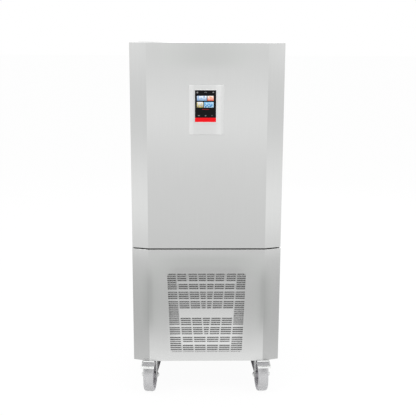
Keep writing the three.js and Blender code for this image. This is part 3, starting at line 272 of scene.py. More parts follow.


# Painted reflections: bands of lighter and darker grey up the cabinet's sides, by height in metres.
SIDE_REFLECTIONS = [(0.17, 0.62), (0.45, 0.50), (0.8, 0.56), (1.2, 0.62), (1.5, 0.54), (1.68, 0.58)]
cabinet_steel = steel("cabinet_steel", shade_along("Z", SIDE_REFLECTIONS), 0.34)
top_steel = steel("top_steel", 0.48, 0.38, stretch=FRONT_TO_BACK)
frame_steel = steel("frame_steel", 0.60, 0.3, stretch=SIDEWAYS)
chamber_steel = steel("chamber_steel", 0.64, 0.26, clouds=0.08)

BODIES = frame["record"]["behaviour"]["bodies"]
SLOTS = {row["node"]: row["material_slot"] for row in frame["record"]["subparts"]}


def body_of(node):
    """The body that a CAD node rides on."""
    return next(body for body, nodes in BODIES.items() if node in nodes)


def dress(finish, *nodes):
    """Gives CAD nodes their finish."""
    for node in nodes:
        frame["nodes"][node].material_slots[0].material = finish


MM = 0.001
CREASE = math.radians(32)
LEAST_CORNER = math.radians(20)
JOIN_WITHIN = 0.02
FLAT_WITHIN = math.radians(1)


def piece(name, shape, finish, body, stands_for=()):
    """Makes a mesh, drawn in millimetres, a piece of the chiller on a body, and hides the CAD nodes that
    it stands for.

    A shape still in the making gets its finish here, or its finishes, which its faces pick from.
    """
    mesh = shape
    if isinstance(shape, bmesh.types.BMesh):
        mesh = bpy.data.meshes.new(name)
        shape.to_mesh(mesh)
        shape.free()
        for one in finish if isinstance(finish, list) else [finish]:
            mesh.materials.append(one)
    mesh.name = name
    mesh.transform(Matrix.Scale(MM, 4))
    mesh.shade_smooth()
    mesh.set_sharp_from_angle(angle=CREASE)
    made = bpy.data.objects.new(name, mesh)
    scene.collection.objects.link(made)
    made.modifiers.new("flat_faces", "WEIGHTED_NORMAL").keep_sharp = True
    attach(made, body)
    if stands_for:
        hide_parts(*stands_for)


def stand_in(node, ending, shape, finish=None):
    """A piece that stands for a CAD node, on the node's body."""
    piece(f"{node}_{ending}", shape, finish, body_of(node), [node])


def soften(shape, radius, segments=2, where=None):
    """Rounds the corners of a shape, or those edges that where(edge) picks."""
    edges = [
        edge for edge in shape.edges
        if edge.is_manifold and edge.calc_face_angle(0) > LEAST_CORNER and (not where or where(edge))
    ]
    bmesh.ops.bevel(
        shape, geom=edges, offset=radius, segments=segments, profile=0.5, affect="EDGES",
        clamp_overlap=True)


def copy_of(node):
    """A CAD node's shape in millimetres, with its loose triangles joined up."""
    shape = bmesh.new()
    shape.from_mesh(frame["nodes"][node].data)
    bmesh.ops.scale(shape, vec=(1 / MM,) * 3, verts=shape.verts)
    bmesh.ops.remove_doubles(shape, verts=shape.verts, dist=JOIN_WITHIN)
    bmesh.ops.dissolve_limit(
        shape, angle_limit=FLAT_WITHIN, verts=shape.verts, edges=shape.edges)
    return shape


def eased(node, finish, radius, segments=2, where=None):
    """A CAD node with its corners rounded, which stands for it."""
    shape = copy_of(node)
    soften(shape, radius, segments, where)
    stand_in(node, "eased", shape, finish)


dress(top_steel, "top_panel")
dress(frame_steel, "door_frame")
for side in ("side_panel_left", "side_panel_right"):
    eased(side, cabinet_steel, 0.7)

# ---- Door -----------------------------------------------------------------------------------
# The door is a deep pan of folded sheet with two sloping strips down its sides, filled with foam,
# and closed at the back by a liner whose plug goes into the chamber. Bends have a small radius.

BEVEL_FOLD_X = 0.273  # where the sloping strips start, in metres like all that a material reads


def laid_over(tree, below, above, mask, blend="MIX"):
    """A colour laid over another where the mask is 1, each a socket or its red, green and blue."""
    below, above = (
        one if isinstance(one, bpy.types.NodeSocket) else (*one, 1) for one in (below, above))
    mixed = node_in(
        tree, "ShaderNodeMix", {"Factor": mask, 6: below, 7: above}, data_type="RGBA", blend_type=blend)
    return mixed.outputs[2]


def front_shade(flat, slope):
    """Painted reflections: light and dark bands of a bevelled front, on its flat middle and on its
    sloping strips.
    """
    def shade(tree, place):
        axes = axes_of(tree, place)
        beyond = math_in(tree, "GREATER_THAN", math_in(tree, "ABSOLUTE", axes["X"]), BEVEL_FOLD_X)
        return laid_over(tree, bands(tree, axes["Z"], flat), bands(tree, axes["Z"], slope), beyond)
    return shade


def soft_mask(tree, value, middle, full, none):
    """1 round the middle of a value, fading to 0 between two distances from it."""
    away = math_in(tree, "ABSOLUTE", math_in(tree, "SUBTRACT", value, middle))
    return node_in(tree, "ShaderNodeMapRange", {
        "Value": away, "From Min": full, "From Max": none, "To Min": 1.0, "To Max": 0.0,
    }, interpolation_type="SMOOTHSTEP").outputs[0]


def deepened(bare, across, heights):
    """A front's bands made darker by factors across it, over a soft range of heights: painted shade."""
    def shade(tree, place):
        axes = axes_of(tree, place)
        factors = bands(tree, math_in(tree, "ABSOLUTE", axes["X"]), across)
        return laid_over(
            tree, bare(tree, place), factors, soft_mask(tree, axes["Z"], *heights), "MULTIPLY")
    return shade


# Painted reflections: greys by height on the door's flat middle and on its sloping strips, each strip's
# greys standing in for how the light falls on its slope.
DOOR_FLAT_REFLECTIONS = [
    (0.74, 0.575), (0.85, 0.60), (1.0, 0.622), (1.2, 0.66), (1.38, 0.745), (1.6, 0.615), (1.68, 0.66)]
DOOR_SLOPE_REFLECTIONS = [(0.74, 0.61), (0.9, 0.755), (1.08, 0.73), (1.3, 0.60), (1.5, 0.615), (1.68, 0.69)]
# A painted shade darkens a front: factors by the distance from its middle, and then the shade's own
# middle height, with how far from it the shade is full and how far it reaches.
HEAD_SHADE = [(0.0, 0.93), (0.08, 0.945), (0.16, 0.99), (0.22, 1.0), (0.35, 1.0)]
HEAD_SHADE_HEIGHTS = (1.635, 0.03, 0.09)
SKIN_FRONT_Y = -290
SKIN_LONG_EDGE = 400
door_steel = steel(
    "door_steel", deepened(front_shade(DOOR_FLAT_REFLECTIONS, DOOR_SLOPE_REFLECTIONS), HEAD_SHADE, HEAD_SHADE_HEIGHTS), 0.34)
eased("door_skin", door_steel, 1.4, segments=3, where=lambda edge: (
    max(vert.co.y for vert in edge.verts) < SKIN_FRONT_Y
    or abs(edge.verts[0].co.z - edge.verts[1].co.z) > SKIN_LONG_EDGE))
eased("door_liner", chamber_steel, 0.6)

# ---- Lower front panel ----------------------------------------------------------------------
# A folded pan of the same sheet as the door hides the machinery. Its middle is punched with a
# grille of short slots between leaning ribs, around a plain plate.

FRONT_Y = -362.0
SHEET = 1.5
PANEL_Z = (173.0, 731.0)
PANEL_BACK = -280.3
PANEL_HALF = 350.0
BEVEL = (77.0, 25.0)  # how far a sloping strip goes across and back
BEVEL_ANGLE = math.atan2(BEVEL[1], BEVEL[0])
FOOT_RETURN = 15.0
SLOT_HEIGHT = 5.5
SLOT_PITCH = 10.3
RIB = 7.0
WIDE_RIB = 13.0
RIBS_LEAN = (52.0, 437.0)  # the two heights at which the next lines say where the ribs stand
RIB_FOOT = (0, 4.5, 57, 114.5, 171.5)
RIB_HEAD = (0, 42, 91, 142.5, 186)
FRAME_RIB, LAST_RIB = 3, 4
MIDDLE_BLOCKS = (  # height of the top row, rows, ribs between the slots, and which rib is wide
    (437.3, 4, (0, 1, 2, 3), 2), (387, 3, (0, 1, 2, 3), 3), (348.5, 4, (0, 1, 2, 3), None),
    (301.5, 4, (0, 1, 2, 3), None), (217.5, 4, (1, 2, 3), None), (170.5, 4, (1, 2, 3), None),
    (121, 3, (0, 2, 3), 3), (80, 4, (0, 2, 3), None),
)
# Height of the top row and rows of the blocks outside the frame's ribs.
EDGE_BLOCKS = ((437.3, 8), (348.5, 4), (301.5, 12), (170.5, 4), (121, 8))
CORNER_CUT = 7.0
SLOT_CORNER = 1.6


def prism(shape, outline, axis, low, high):
    """Adds an outline to a shape, drawn out along x, where it is (y, z), or along z."""
    near, far = (
        [shape.verts.new((w, a, b) if axis == "x" else (a, b, w)) for a, b in outline]
        for w in (low, high))
    made = [shape.faces.new(near), shape.faces.new(reversed(far))]
    for i in range(len(outline)):
        j = (i + 1) % len(outline)
        made.append(shape.faces.new((near[i], near[j], far[j], far[i])))
    bmesh.ops.recalc_face_normals(shape, faces=made)
    return near + far


def front_outline(half, inset, back):
    """Plan of a front with its flat middle and two sloping strips, moved in by inset."""
    side = half - inset
    flat = half - BEVEL[0] - inset * math.tan(BEVEL_ANGLE / 2)
    shoulder = FRONT_Y + BEVEL[1] + inset * math.tan(math.pi / 4 - BEVEL_ANGLE / 2)
    front = FRONT_Y + inset
    right = [(flat, front), (side, shoulder), (side, back)]
    return [*((-x, y) for x, y in reversed(right)), *right]


def tool(shape):
    """A shape as an object that only lends its form to others, and is removed again."""
    mesh = bpy.data.meshes.new("tool")
    shape.to_mesh(mesh)
    shape.free()
    lent = bpy.data.objects.new("tool", mesh)
    scene.collection.objects.link(lent)
    return lent


def points_mesh(points, edges=(), **values):
    """A mesh of bare points; each value is a number or a vector for each of its points."""
    mesh = bpy.data.meshes.new("points")
    mesh.from_pydata(points, edges, [])
    for name, rows in values.items():
        vectors = isinstance(rows[0], (tuple, list, Vector))
        kind, field = ("FLOAT_VECTOR", "vector") if vectors else ("FLOAT", "value")
        column = mesh.attributes.new(name, kind, "POINT").data
        column.foreach_set(field, [part for row in rows for part in row] if vectors else rows)
    return mesh


def geometry_tree(name, **inputs):
    """A Geometry Nodes tree with named inputs: the tree, its inputs, and its output socket."""
    tree, ins, outs = new_group(
        name, "GeometryNodeTree", {"Geometry": "Geometry", **inputs}, {"Geometry": "Geometry"})
    return tree, ins, outs["Geometry"]


def chain(tree, geometry, *steps):
    """Passes a geometry through nodes, each a kind with its inputs and settings."""
    for kind, inputs, settings in steps:
        node = node_in(tree, kind, inputs, **settings)
        tree.links.new(geometry, next(socket for socket in node.inputs if socket.type == "GEOMETRY"))
        geometry = next(socket for socket in node.outputs if socket.type == "GEOMETRY")
    return geometry


def finished(tree, geometry, finish, out):
    """Ends a tree: what it repeats becomes plain mesh and gets its finish."""
    tree.links.new(chain(
        tree, geometry,
        ("GeometryNodeRealizeInstances", {}, {}),
        ("GeometryNodeSetMaterial", {"Material": finish}, {}),
    ), out)


def grown(tree, base=None, tools=(), **values):
    """Runs a Geometry Nodes tree and returns the plain mesh that it makes."""
    holder = bpy.data.objects.new("jig", base or bpy.data.meshes.new("jig"))
    scene.collection.objects.link(holder)
    jig = holder.modifiers.new("jig", "NODES")
    jig.node_group = tree
    for item in tree.interface.items_tree:
        if item.in_out == "INPUT" and item.name in values:
            jig[item.identifier] = values[item.name]
    ready = holder.evaluated_get(bpy.context.evaluated_depsgraph_get())
    mesh = bpy.data.meshes.new_from_object(ready)
    for spent in (holder, *tools):
        bpy.data.objects.remove(spent)
    return mesh


SLOTTED, slotted_in, slotted_out = geometry_tree(
    "slotted_sheet", Sheet="Object", Hollow="Object", Foot="Object", Height="Float",
    Depth="Float", Level="Float", Finish="Material")
outline = node_in(SLOTTED, "GeometryNodeCurvePrimitiveQuadrilateral", {
    "Width": 1.0, "Height": slotted_in["Height"]})
reach = node_in(SLOTTED, "GeometryNodeInputNamedAttribute", {"Name": "reach"}, data_type="FLOAT")
stretch = node_in(SLOTTED, "ShaderNodeCombineXYZ", {
    "X": reach.outputs["Attribute"], "Y": 1.0, "Z": 1.0})
placed = node_in(SLOTTED, "GeometryNodeInstanceOnPoints", {
    "Points": slotted_in["Geometry"], "Instance": outline.outputs[0], "Scale": stretch.outputs[0]})
flat_slots = chain(
    SLOTTED, placed.outputs[0],
    ("GeometryNodeRealizeInstances", {}, {}),
    ("GeometryNodeFilletCurve", {
        "Radius": SLOT_CORNER, "Count": 3, "Limit Radius": True}, {"mode": "POLY"}),
    ("GeometryNodeFillCurve", {}, {"mode": "NGONS"}),
)
raised = node_in(SLOTTED, "GeometryNodeExtrudeMesh", {
    "Mesh": flat_slots, "Offset Scale": slotted_in["Depth"]})
turned_over = node_in(SLOTTED, "GeometryNodeFlipFaces", {"Mesh": flat_slots})
punches = node_in(SLOTTED, "GeometryNodeJoinGeometry")
SLOTTED.links.new(turned_over.outputs[0], punches.inputs[0])
SLOTTED.links.new(raised.outputs[0], punches.inputs[0])
level = node_in(SLOTTED, "ShaderNodeCombineXYZ", {"Y": slotted_in["Level"]})
punches = chain(
    SLOTTED, punches.outputs[0],
    ("GeometryNodeMergeByDistance", {}, {}),
    ("GeometryNodeTransform", {"Translation": level.outputs[0], "Rotation": (math.pi / 2, 0, 0)}, {}),
)
cut_out = node_in(SLOTTED, "GeometryNodeMeshBoolean", operation="DIFFERENCE", solver="EXACT")
blank = node_in(SLOTTED, "GeometryNodeObjectInfo", {"Object": slotted_in["Sheet"]})
SLOTTED.links.new(blank.outputs["Geometry"], cut_out.inputs["Mesh 1"])
for name in ("Hollow", "Foot"):
    cutter = node_in(SLOTTED, "GeometryNodeObjectInfo", {"Object": slotted_in[name]})
    SLOTTED.links.new(cutter.outputs["Geometry"], cut_out.inputs["Mesh 2"])
SLOTTED.links.new(punches, cut_out.inputs["Mesh 2"])
finished(SLOTTED, cut_out.outputs[0], slotted_in["Finish"], slotted_out)


def rib_x(rib, height):
    """How far a rib stands from the middle at a height above the panel's foot."""
    share = (height - RIBS_LEAN[0]) / (RIBS_LEAN[1] - RIBS_LEAN[0])
    return RIB_FOOT[rib] + share * (RIB_HEAD[rib] - RIB_FOOT[rib])


slots = []
for top, rows, ribs, wide in MIDDLE_BLOCKS:
    for height in (top - SLOT_PITCH * i for i in range(rows)):
        for near, far in zip(ribs, ribs[1:]):
            inner = rib_x(near, height) + (WIDE_RIB if near == wide else RIB) / 2
            outer = rib_x(far, height) - (WIDE_RIB if far == wide else RIB) / 2
            slots += [(inner, outer, height), (-outer, -inner, height)]
        if ribs[0]:
            middle = rib_x(ribs[0], height) - RIB / 2
            slots.append((-middle, middle, height))
lowest_top, lowest_rows = EDGE_BLOCKS[-1]
SHORTENED = (EDGE_BLOCKS[0][0], lowest_top - SLOT_PITCH * (lowest_rows - 1))
for top, rows in EDGE_BLOCKS:
    for height in (top - SLOT_PITCH * i for i in range(rows)):
        inner = rib_x(FRAME_RIB, height) + RIB / 2
        outer = rib_x(LAST_RIB, height) - CORNER_CUT * (height in SHORTENED)
        slots += [(inner, outer, height), (-outer, -inner, height)]

pan, hollow, foot = bmesh.new(), bmesh.new(), bmesh.new()
prism(pan, front_outline(PANEL_HALF, 0, PANEL_BACK), "z", *PANEL_Z)
soften(
    pan, radius=1.6, segments=4,
    where=lambda edge: max(vert.co.y for vert in edge.verts) < PANEL_BACK - 1)
prism(
    hollow, front_outline(PANEL_HALF, SHEET, PANEL_BACK + 1), "z",
    PANEL_Z[0] + SHEET, PANEL_Z[1] - SHEET)
soften(
    hollow, radius=1.0,
    where=lambda edge: abs(edge.verts[0].co.z - edge.verts[1].co.z) > 1)
prism(
    foot, front_outline(PANEL_HALF, FOOT_RETURN, PANEL_BACK + 1), "z",
    PANEL_Z[0] - 1, PANEL_Z[0] + SHEET + 1)
tools = {"Sheet": tool(pan), "Hollow": tool(hollow), "Foot": tool(foot)}


def rib_line(tree, rib, height):
    """How far a rib of the grille stands from the middle, at a height in the room."""
    lean = (RIB_HEAD[rib] - RIB_FOOT[rib]) / (RIBS_LEAN[1] - RIBS_LEAN[0])
    at_floor = MM * (RIB_FOOT[rib] - lean * (PANEL_Z[0] + RIBS_LEAN[0]))
    return math_in(tree, "MULTIPLY_ADD", height, lean, at_floor)


def in_blocks(tree, height, blocks):
    """1 at the heights that the blocks of slots take up."""
    total = 0.0
    for top, rows, *_ in blocks:
        half = (SLOT_PITCH * (rows - 1) + SLOT_HEIGHT) / 2
        middle = PANEL_Z[0] + top + SLOT_HEIGHT / 2 - half
        total = math_in(tree, "ADD", total, math_in(tree, "COMPARE", height, MM * middle, MM * half))
    return total


# Painted shade: the lands between slots are painted darker than the wide ribs, most so high up: (height,
# share).
LANDS_SHADE = ((0.25, -0.06), (0.58, -0.20))
GRILLE_ACROSS = (0.0, 0.125, 0.195)
GRILLE_HEIGHTS = (0.445, 0.175, 0.215)


def punched_shade(outside, inside):
    """The front's bands outside, with painted light and shade in the punched middle: lighter ribs and
    darker lands.
    """
    def shade(tree, place):
        axes = axes_of(tree, place)
        punched = math_in(
            tree, "MULTIPLY", soft_mask(tree, axes["X"], *GRILLE_ACROSS),
            soft_mask(tree, axes["Z"], *GRILLE_HEIGHTS))
        bare = laid_over(tree, outside(tree, place), bands(tree, axes["Z"], inside), punched)
        away = math_in(tree, "ABSOLUTE", axes["X"])
        inner, outer = (
            math_in(tree, "LESS_THAN", away, rib_line(tree, rib, axes["Z"]))
            for rib in (FRAME_RIB, LAST_RIB))
        middle = math_in(tree, "MULTIPLY", inner, in_blocks(tree, axes["Z"], MIDDLE_BLOCKS))
        beside = math_in(tree, "SUBTRACT", outer, inner)
        edge = math_in(tree, "MULTIPLY", beside, in_blocks(tree, axes["Z"], EDGE_BLOCKS))
        (low, at_low), (high, at_high) = LANDS_SHADE
        darker = node_in(tree, "ShaderNodeMapRange", {
            "Value": axes["Z"], "From Min": low, "From Max": high, "To Min": at_low, "To Max": at_high})
        lands = math_in(tree, "ADD", middle, edge)
        return colour_times(tree, bare, math_in(tree, "MULTIPLY_ADD", lands, darker.outputs[0], 1.0))
    return shade


# Painted reflections: greys by height on the lower panel's flat middle and on its sloping strips,
# lighter near the floor.
PANEL_FLAT_REFLECTIONS = [
    (0.173, 0.74), (0.23, 0.68), (0.33, 0.55), (0.45, 0.475), (0.58, 0.495), (0.68, 0.56), (0.731, 0.57)]
PANEL_SLOPE_REFLECTIONS = [(0.173, 0.535), (0.3, 0.46), (0.45, 0.45), (0.58, 0.49), (0.68, 0.545), (0.731, 0.64)]
# Painted shade: a soft dark band along each fold of the lower panel, a little lighter beyond it, and a
# darker brow just above the grille.
FOLD_SHADE = [
    (0.0, 1.0), (0.22, 1.0), (0.25, 0.97), (0.267, 0.80), (0.285, 0.92), (0.31, 1.0), (0.35, 1.03)]
FOLD_SHADE_HEIGHTS = (0.48, 0.07, 0.20)
BROW_SHADE = [(0.0, 0.91), (0.12, 0.92), (0.19, 0.96), (0.25, 1.0), (0.35, 1.0)]
BROW_SHADE_HEIGHTS = (0.65, 0.03, 0.07)
# Painted light and shade on the punched middle: greys by height, lighter low down and darker under its
# top.
GRILLE_LIGHT_AND_SHADE = [
    (0.2, 0.80), (0.3, 0.77), (0.42, 0.62), (0.50, 0.54), (0.56, 0.53), (0.595, 0.54), (0.62, 0.45),
    (0.65, 0.45)]
unpunched = deepened(front_shade(PANEL_FLAT_REFLECTIONS, PANEL_SLOPE_REFLECTIONS), FOLD_SHADE, FOLD_SHADE_HEIGHTS)
unpunched = deepened(unpunched, BROW_SHADE, BROW_SHADE_HEIGHTS)
panel_steel = steel("panel_steel", punched_shade(unpunched, GRILLE_LIGHT_AND_SHADE), 0.34)
slot_points = points_mesh(
    [((low + high) / 2, PANEL_Z[0] + height, 0) for low, high, height in slots],
    reach=[high - low for low, high, height in slots])
piece("lower_front_panel", grown(
    SLOTTED, slot_points, tools.values(), Height=SLOT_HEIGHT, Depth=2 * SHEET,
    Level=FRONT_Y + 1.5 * SHEET, Finish=panel_steel, **tools,
), None, "cabinet", ["front_grille_panel"])

# ---- Display --------------------------------------------------------------------------------
# A shallow silver housing on the door, with sloping cheeks, holds a black glass touch screen in a
# bright rim. The screen shows coloured tiles, small signs and a red bar across its foot.

PAINT, paint_in, paint_out = surface_group("moulded", Grain="Float", Clouds="Float")
fine = noise_in(PAINT, paint_in["Place"], scale=900.0, detail=1.0)
broad = noise_in(PAINT, paint_in["Place"], scale=14.0)
level = math_in(PAINT, "MULTIPLY_ADD", fine, paint_in["Grain"], 1.0)
level = math_in(PAINT, "MULTIPLY_ADD", broad, paint_in["Clouds"], level)
surface_links(PAINT, paint_in, paint_out, level, rough=broad, share=0.12, height=fine)


def moulded(name, colour, roughness, grain=0.06, clouds=0.1):
    """Moulded plastic, rubber or paint with a fine grain."""
    return finish_with(
        name, PAINT, colour, relief=0.00004, Roughness=roughness, Grain=grain, Clouds=clouds)


# Painted highlights: the housing's front is painted lighter down both sides of the glass and on its left
# cheek. The rim has painted shade down its left side, which looks away from the light.
HOUSING_HIGHLIGHTS = [
    (-0.0835, 0.79), (-0.077, 0.85), (-0.069, 0.84), (-0.058, 0.735), (0.034, 0.755), (0.050, 0.84),
    (0.066, 0.81), (0.0775, 0.76)]
RIM_SHADE = [(-0.060, 0.70), (-0.055, 0.72), (-0.051, 0.86), (0.043, 0.86)]
housing_silver = moulded("housing_silver", shade_along("X", HOUSING_HIGHLIGHTS), 0.38, clouds=0.03)
rim_silver = moulded("rim_silver", shade_along("X", RIM_SHADE), 0.25, clouds=0.02)
eased("display_housing", housing_silver, 1.6, segments=3)

GLASS_LOW, GLASS_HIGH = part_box("touch_display")
GLASS_SPAN = GLASS_HIGH - GLASS_LOW
RED_BAR = 0.139
TILES = (  # as shares of the glass: middle across and up, half width and height; three colours
    ((0.333, 0.745), (0.223, 0.075), (0.13, 0.24, 0.42), (0.90, 0.95, 1.00), (0.24, 0.40, 0.62)),
    ((0.726, 0.745), (0.140, 0.075), (0.62, 0.05, 0.03), (0.95, 0.92, 0.85), (0.85, 0.30, 0.12)),
    ((0.255, 0.545), (0.145, 0.085), (0.15, 0.10, 0.08), (0.88, 0.90, 0.96), (0.62, 0.54, 0.14)),
    ((0.648, 0.545), (0.218, 0.085), (0.03, 0.15, 0.36), (0.22, 0.50, 0.80), (0.50, 0.72, 0.85)),
)
SIGNS = (  # small plain signs: middle, half size, brightness
    ((0.13, 0.93), (0.035, 0.014), 0.30), ((0.85, 0.93), (0.03, 0.016), 0.26),
    ((0.13, 0.905), (0.02, 0.006), 0.30), ((0.2, 0.205), (0.045, 0.012), 0.20),
    ((0.8, 0.205), (0.03, 0.012), 0.10),
)
SCREEN, screen_in, screen_out = new_group(
    "screen_picture", "ShaderNodeTree", {"Place": "Vector"}, {"Colour": "Color", "Glow": "Color"})
from_corner = node_in(SCREEN, "ShaderNodeVectorMath", {
    0: screen_in["Place"], 1: GLASS_LOW}, operation="SUBTRACT")
on_screen = node_in(SCREEN, "ShaderNodeVectorMath", {
    0: from_corner.outputs[0], 1: GLASS_SPAN}, operation="DIVIDE")
screen_axes = axes_of(SCREEN, on_screen.outputs[0])


def patch(middle, half):
    """1 inside a rectangle of the screen."""
    return math_in(
        SCREEN, "MULTIPLY",
        math_in(SCREEN, "COMPARE", screen_axes["X"], middle[0], half[0]),
        math_in(SCREEN, "COMPARE", screen_axes["Z"], middle[1], half[1]))


WAVES = 0.8  # how strongly the third colour covers a tile where its waves are
SCREEN_BLACK = (0.003, 0.003, 0.0035)
RED_LINE = ((0.22, 0.015, 0.02), (0.5, 0.4), (0.16, 0.008))
RED_FOOT = ((0.74, 0.004, 0.009), (0.5, RED_BAR / 2), (0.6, RED_BAR / 2))
SCREEN_LIGHT = 0.28
shown = SCREEN_BLACK
for i, (middle, half, dark, pale, third) in enumerate(TILES):
    swirl = node_in(SCREEN, "ShaderNodeTexNoise", {
        "Vector": on_screen.outputs[0], "Scale": 5.0 + i, "Detail": 2.0, "Distortion": 1.8})
    waves = math_in(SCREEN, "GREATER_THAN", swirl.outputs[0], 0.5)
    sweep = node_in(SCREEN, "ShaderNodeMapRange", {
        "Value": screen_axes["Z"], "From Min": middle[1] - half[1], "From Max": middle[1] + half[1]})
    tile = laid_over(SCREEN, dark, pale, sweep.outputs[0])
    tile = laid_over(SCREEN, tile, third, math_in(SCREEN, "MULTIPLY", waves, WAVES))
    shown = laid_over(SCREEN, shown, tile, patch(middle, half))
signs = [((light, light, light), middle, half) for middle, half, light in SIGNS]
for colour, middle, half in (*signs, RED_LINE, RED_FOOT):
    shown = laid_over(SCREEN, shown, colour, patch(middle, half))
SCREEN.links.new(shown, screen_out["Colour"])
SCREEN.links.new(colour_times(SCREEN, shown, SCREEN_LIGHT), screen_out["Glow"])

screen_glass = bpy.data.materials.new("screen_glass")
glass_tree = emptied_tree(screen_glass)
place = node_in(glass_tree, "ShaderNodeTexCoord").outputs["Object"]
picture = node_in(glass_tree, "ShaderNodeGroup", {"Place": place}, node_tree=SCREEN)
lit_glass = node_in(glass_tree, "ShaderNodeBsdfPrincipled", {
    "Base Color": picture.outputs["Colour"], "Emission Color": picture.outputs["Glow"],
    "Emission Strength": 1.0, "Roughness": 0.12, "Specular IOR Level": 0.12,
})
node_in(glass_tree, "ShaderNodeOutputMaterial", {"Surface": lit_glass.outputs[0]})
eased("touch_display", screen_glass, 0.8)

digit_white = moulded("digit_white", (0.45, 0.46, 0.47), 0.4, clouds=0.02)
DIGITS = (("12:45", 5.5, (-8.0, 1461.0)), ("-18", 7.0, (-9.0, 1356.0)))
DIGIT_RISE = 0.06
DIGIT_THICK = 0.05
for number, (figures, height, (x, z)) in enumerate(DIGITS, start=1):
    letter = bpy.data.curves.new("figures", "FONT")
    letter.body = figures
    letter.size = height
    letter.align_x = "CENTER"
    letter.extrude = DIGIT_THICK
    holder = bpy.data.objects.new("figures", letter)
    scene.collection.objects.link(holder)
    mesh = bpy.data.meshes.new_from_object(
        holder.evaluated_get(bpy.context.evaluated_depsgraph_get()))
    bpy.data.objects.remove(holder)
    at_glass = Matrix.Translation((x, GLASS_LOW.y / MM - DIGIT_RISE, z))
    mesh.transform(at_glass @ Matrix.Rotation(math.pi / 2, 4, "X"))
    mesh.materials.clear()
    mesh.materials.append(digit_white)
    piece(f"screen_figures_{number}", mesh, None, "door")

GLASS_X = (GLASS_LOW.x / MM, GLASS_HIGH.x / MM)
GLASS_Z = (GLASS_LOW.z / MM, GLASS_HIGH.z / MM)
RIM_WIDTH = 3.6
RIM_LAP = (2.0, 0.6)  # how far it laps over the glass, at its sides and at its ends
RIM_Y = (-375.2, -374.0)
RIM_CORNER = 0.4


def framed(shape, x, z, profile):
    """Adds a frame to a shape: a profile of (distance outwards, y) led round a rectangle."""
    rings = [
        [shape.verts.new((x[i] + (2 * i - 1) * out, y, z[j] + (2 * j - 1) * out)) for out, y in profile]
        for i, j in ((0, 0), (1, 0), (1, 1), (0, 1))
    ]
    made = []
    for ring, following in zip(rings, rings[1:] + rings[:1]):
        for i in range(len(profile)):
            j = (i + 1) % len(profile)
            made.append(shape.faces.new((ring[i], ring[j], following[j], following[i])))
    bmesh.ops.recalc_face_normals(shape, faces=made)


rim = bmesh.new()
framed(
    rim, (GLASS_X[0] + RIM_LAP[0], GLASS_X[1] - RIM_LAP[0]),
    (GLASS_Z[0] + RIM_LAP[1], GLASS_Z[1] - RIM_LAP[1]), (
        (0, RIM_Y[1]), (0, RIM_Y[0] + RIM_CORNER), (RIM_CORNER, RIM_Y[0]),
        (RIM_WIDTH - RIM_CORNER, RIM_Y[0]), (RIM_WIDTH, RIM_Y[0] + RIM_CORNER), (RIM_WIDTH, RIM_Y[1])))
piece("screen_rim", rim, rim_silver, "door")

# ---- Air filter -----------------------------------------------------------------------------
# Behind the grille a grey pleated filter keeps dust out of the condenser. It is a folded mat on
# a thin backing, held between the panel and the coil.

ROW, row_in, row_out = geometry_tree(
    "row", Part="Object", Count="Int", Start="Vector", Step="Vector", Finish="Material")
spots = node_in(ROW, "GeometryNodeMeshLine", {
    "Count": row_in["Count"], "Start Location": row_in["Start"],
    "Offset": row_in["Step"]}, mode="OFFSET")
part = node_in(ROW, "GeometryNodeObjectInfo", {"Object": row_in["Part"]})
in_place = node_in(ROW, "GeometryNodeInstanceOnPoints", {
    "Points": spots.outputs[0], "Instance": part.outputs["Geometry"]})
finished(ROW, in_place.outputs[0], row_in["Finish"], row_out)


def in_a_row(shape, count, start, step, finish):
    """The mesh of a shape repeated along a line."""
    part = tool(shape)
    return grown(ROW, None, [part], Part=part, Count=count, Start=start, Step=step, Finish=finish)


def slab(shape, x, y, z):
    """Adds a block between two corners to a shape."""
    spans = (x, y, z)
    made = bmesh.ops.create_cube(shape, size=1)["verts"]
    bmesh.ops.scale(shape, vec=[high - low for low, high in spans], verts=made)
    bmesh.ops.translate(shape, vec=[(low + high) / 2 for low, high in spans], verts=made)
    return made


FILTER_X = (-196.0, 196.0)
FILTER_Z = (210.0, 618.0)
FILTER_Y = (-358.5, -350.0, -347.0)  # tips of the pleats, front and back of the backing
PLEAT = 8.0
PLEATS = int((FILTER_Z[1] - FILTER_Z[0]) / PLEAT)
filter_grey = moulded("filter_grey", (0.62, 0.62, 0.62), 0.9, grain=0.5)
pleat = bmesh.new()
prism(pleat, [(FILTER_Y[1], 0), (FILTER_Y[0], PLEAT / 2), (FILTER_Y[1], PLEAT)], "x", *FILTER_X)
pleats = in_a_row(pleat, PLEATS, (0, 0, FILTER_Z[0]), (0, 0, PLEAT), filter_grey)
piece("air_filter_pleats", pleats, None, "cabinet")
backing = bmesh.new()
slab(backing, FILTER_X, FILTER_Y[1:], FILTER_Z)
soften(backing, 0.8)
piece("air_filter_backing", backing, filter_grey, "cabinet")

# ---- Castors --------------------------------------------------------------------------------
# Four swivel castors are bolted under the chassis. A pressed steel fork, whose flat sides are given a
# dark grey of painted shade, carries a grey rubber tyre on a moulded rim; the front two have a wide
# steel brake pedal, with painted shade in its pocket and a painted highlight in its lighter steel.

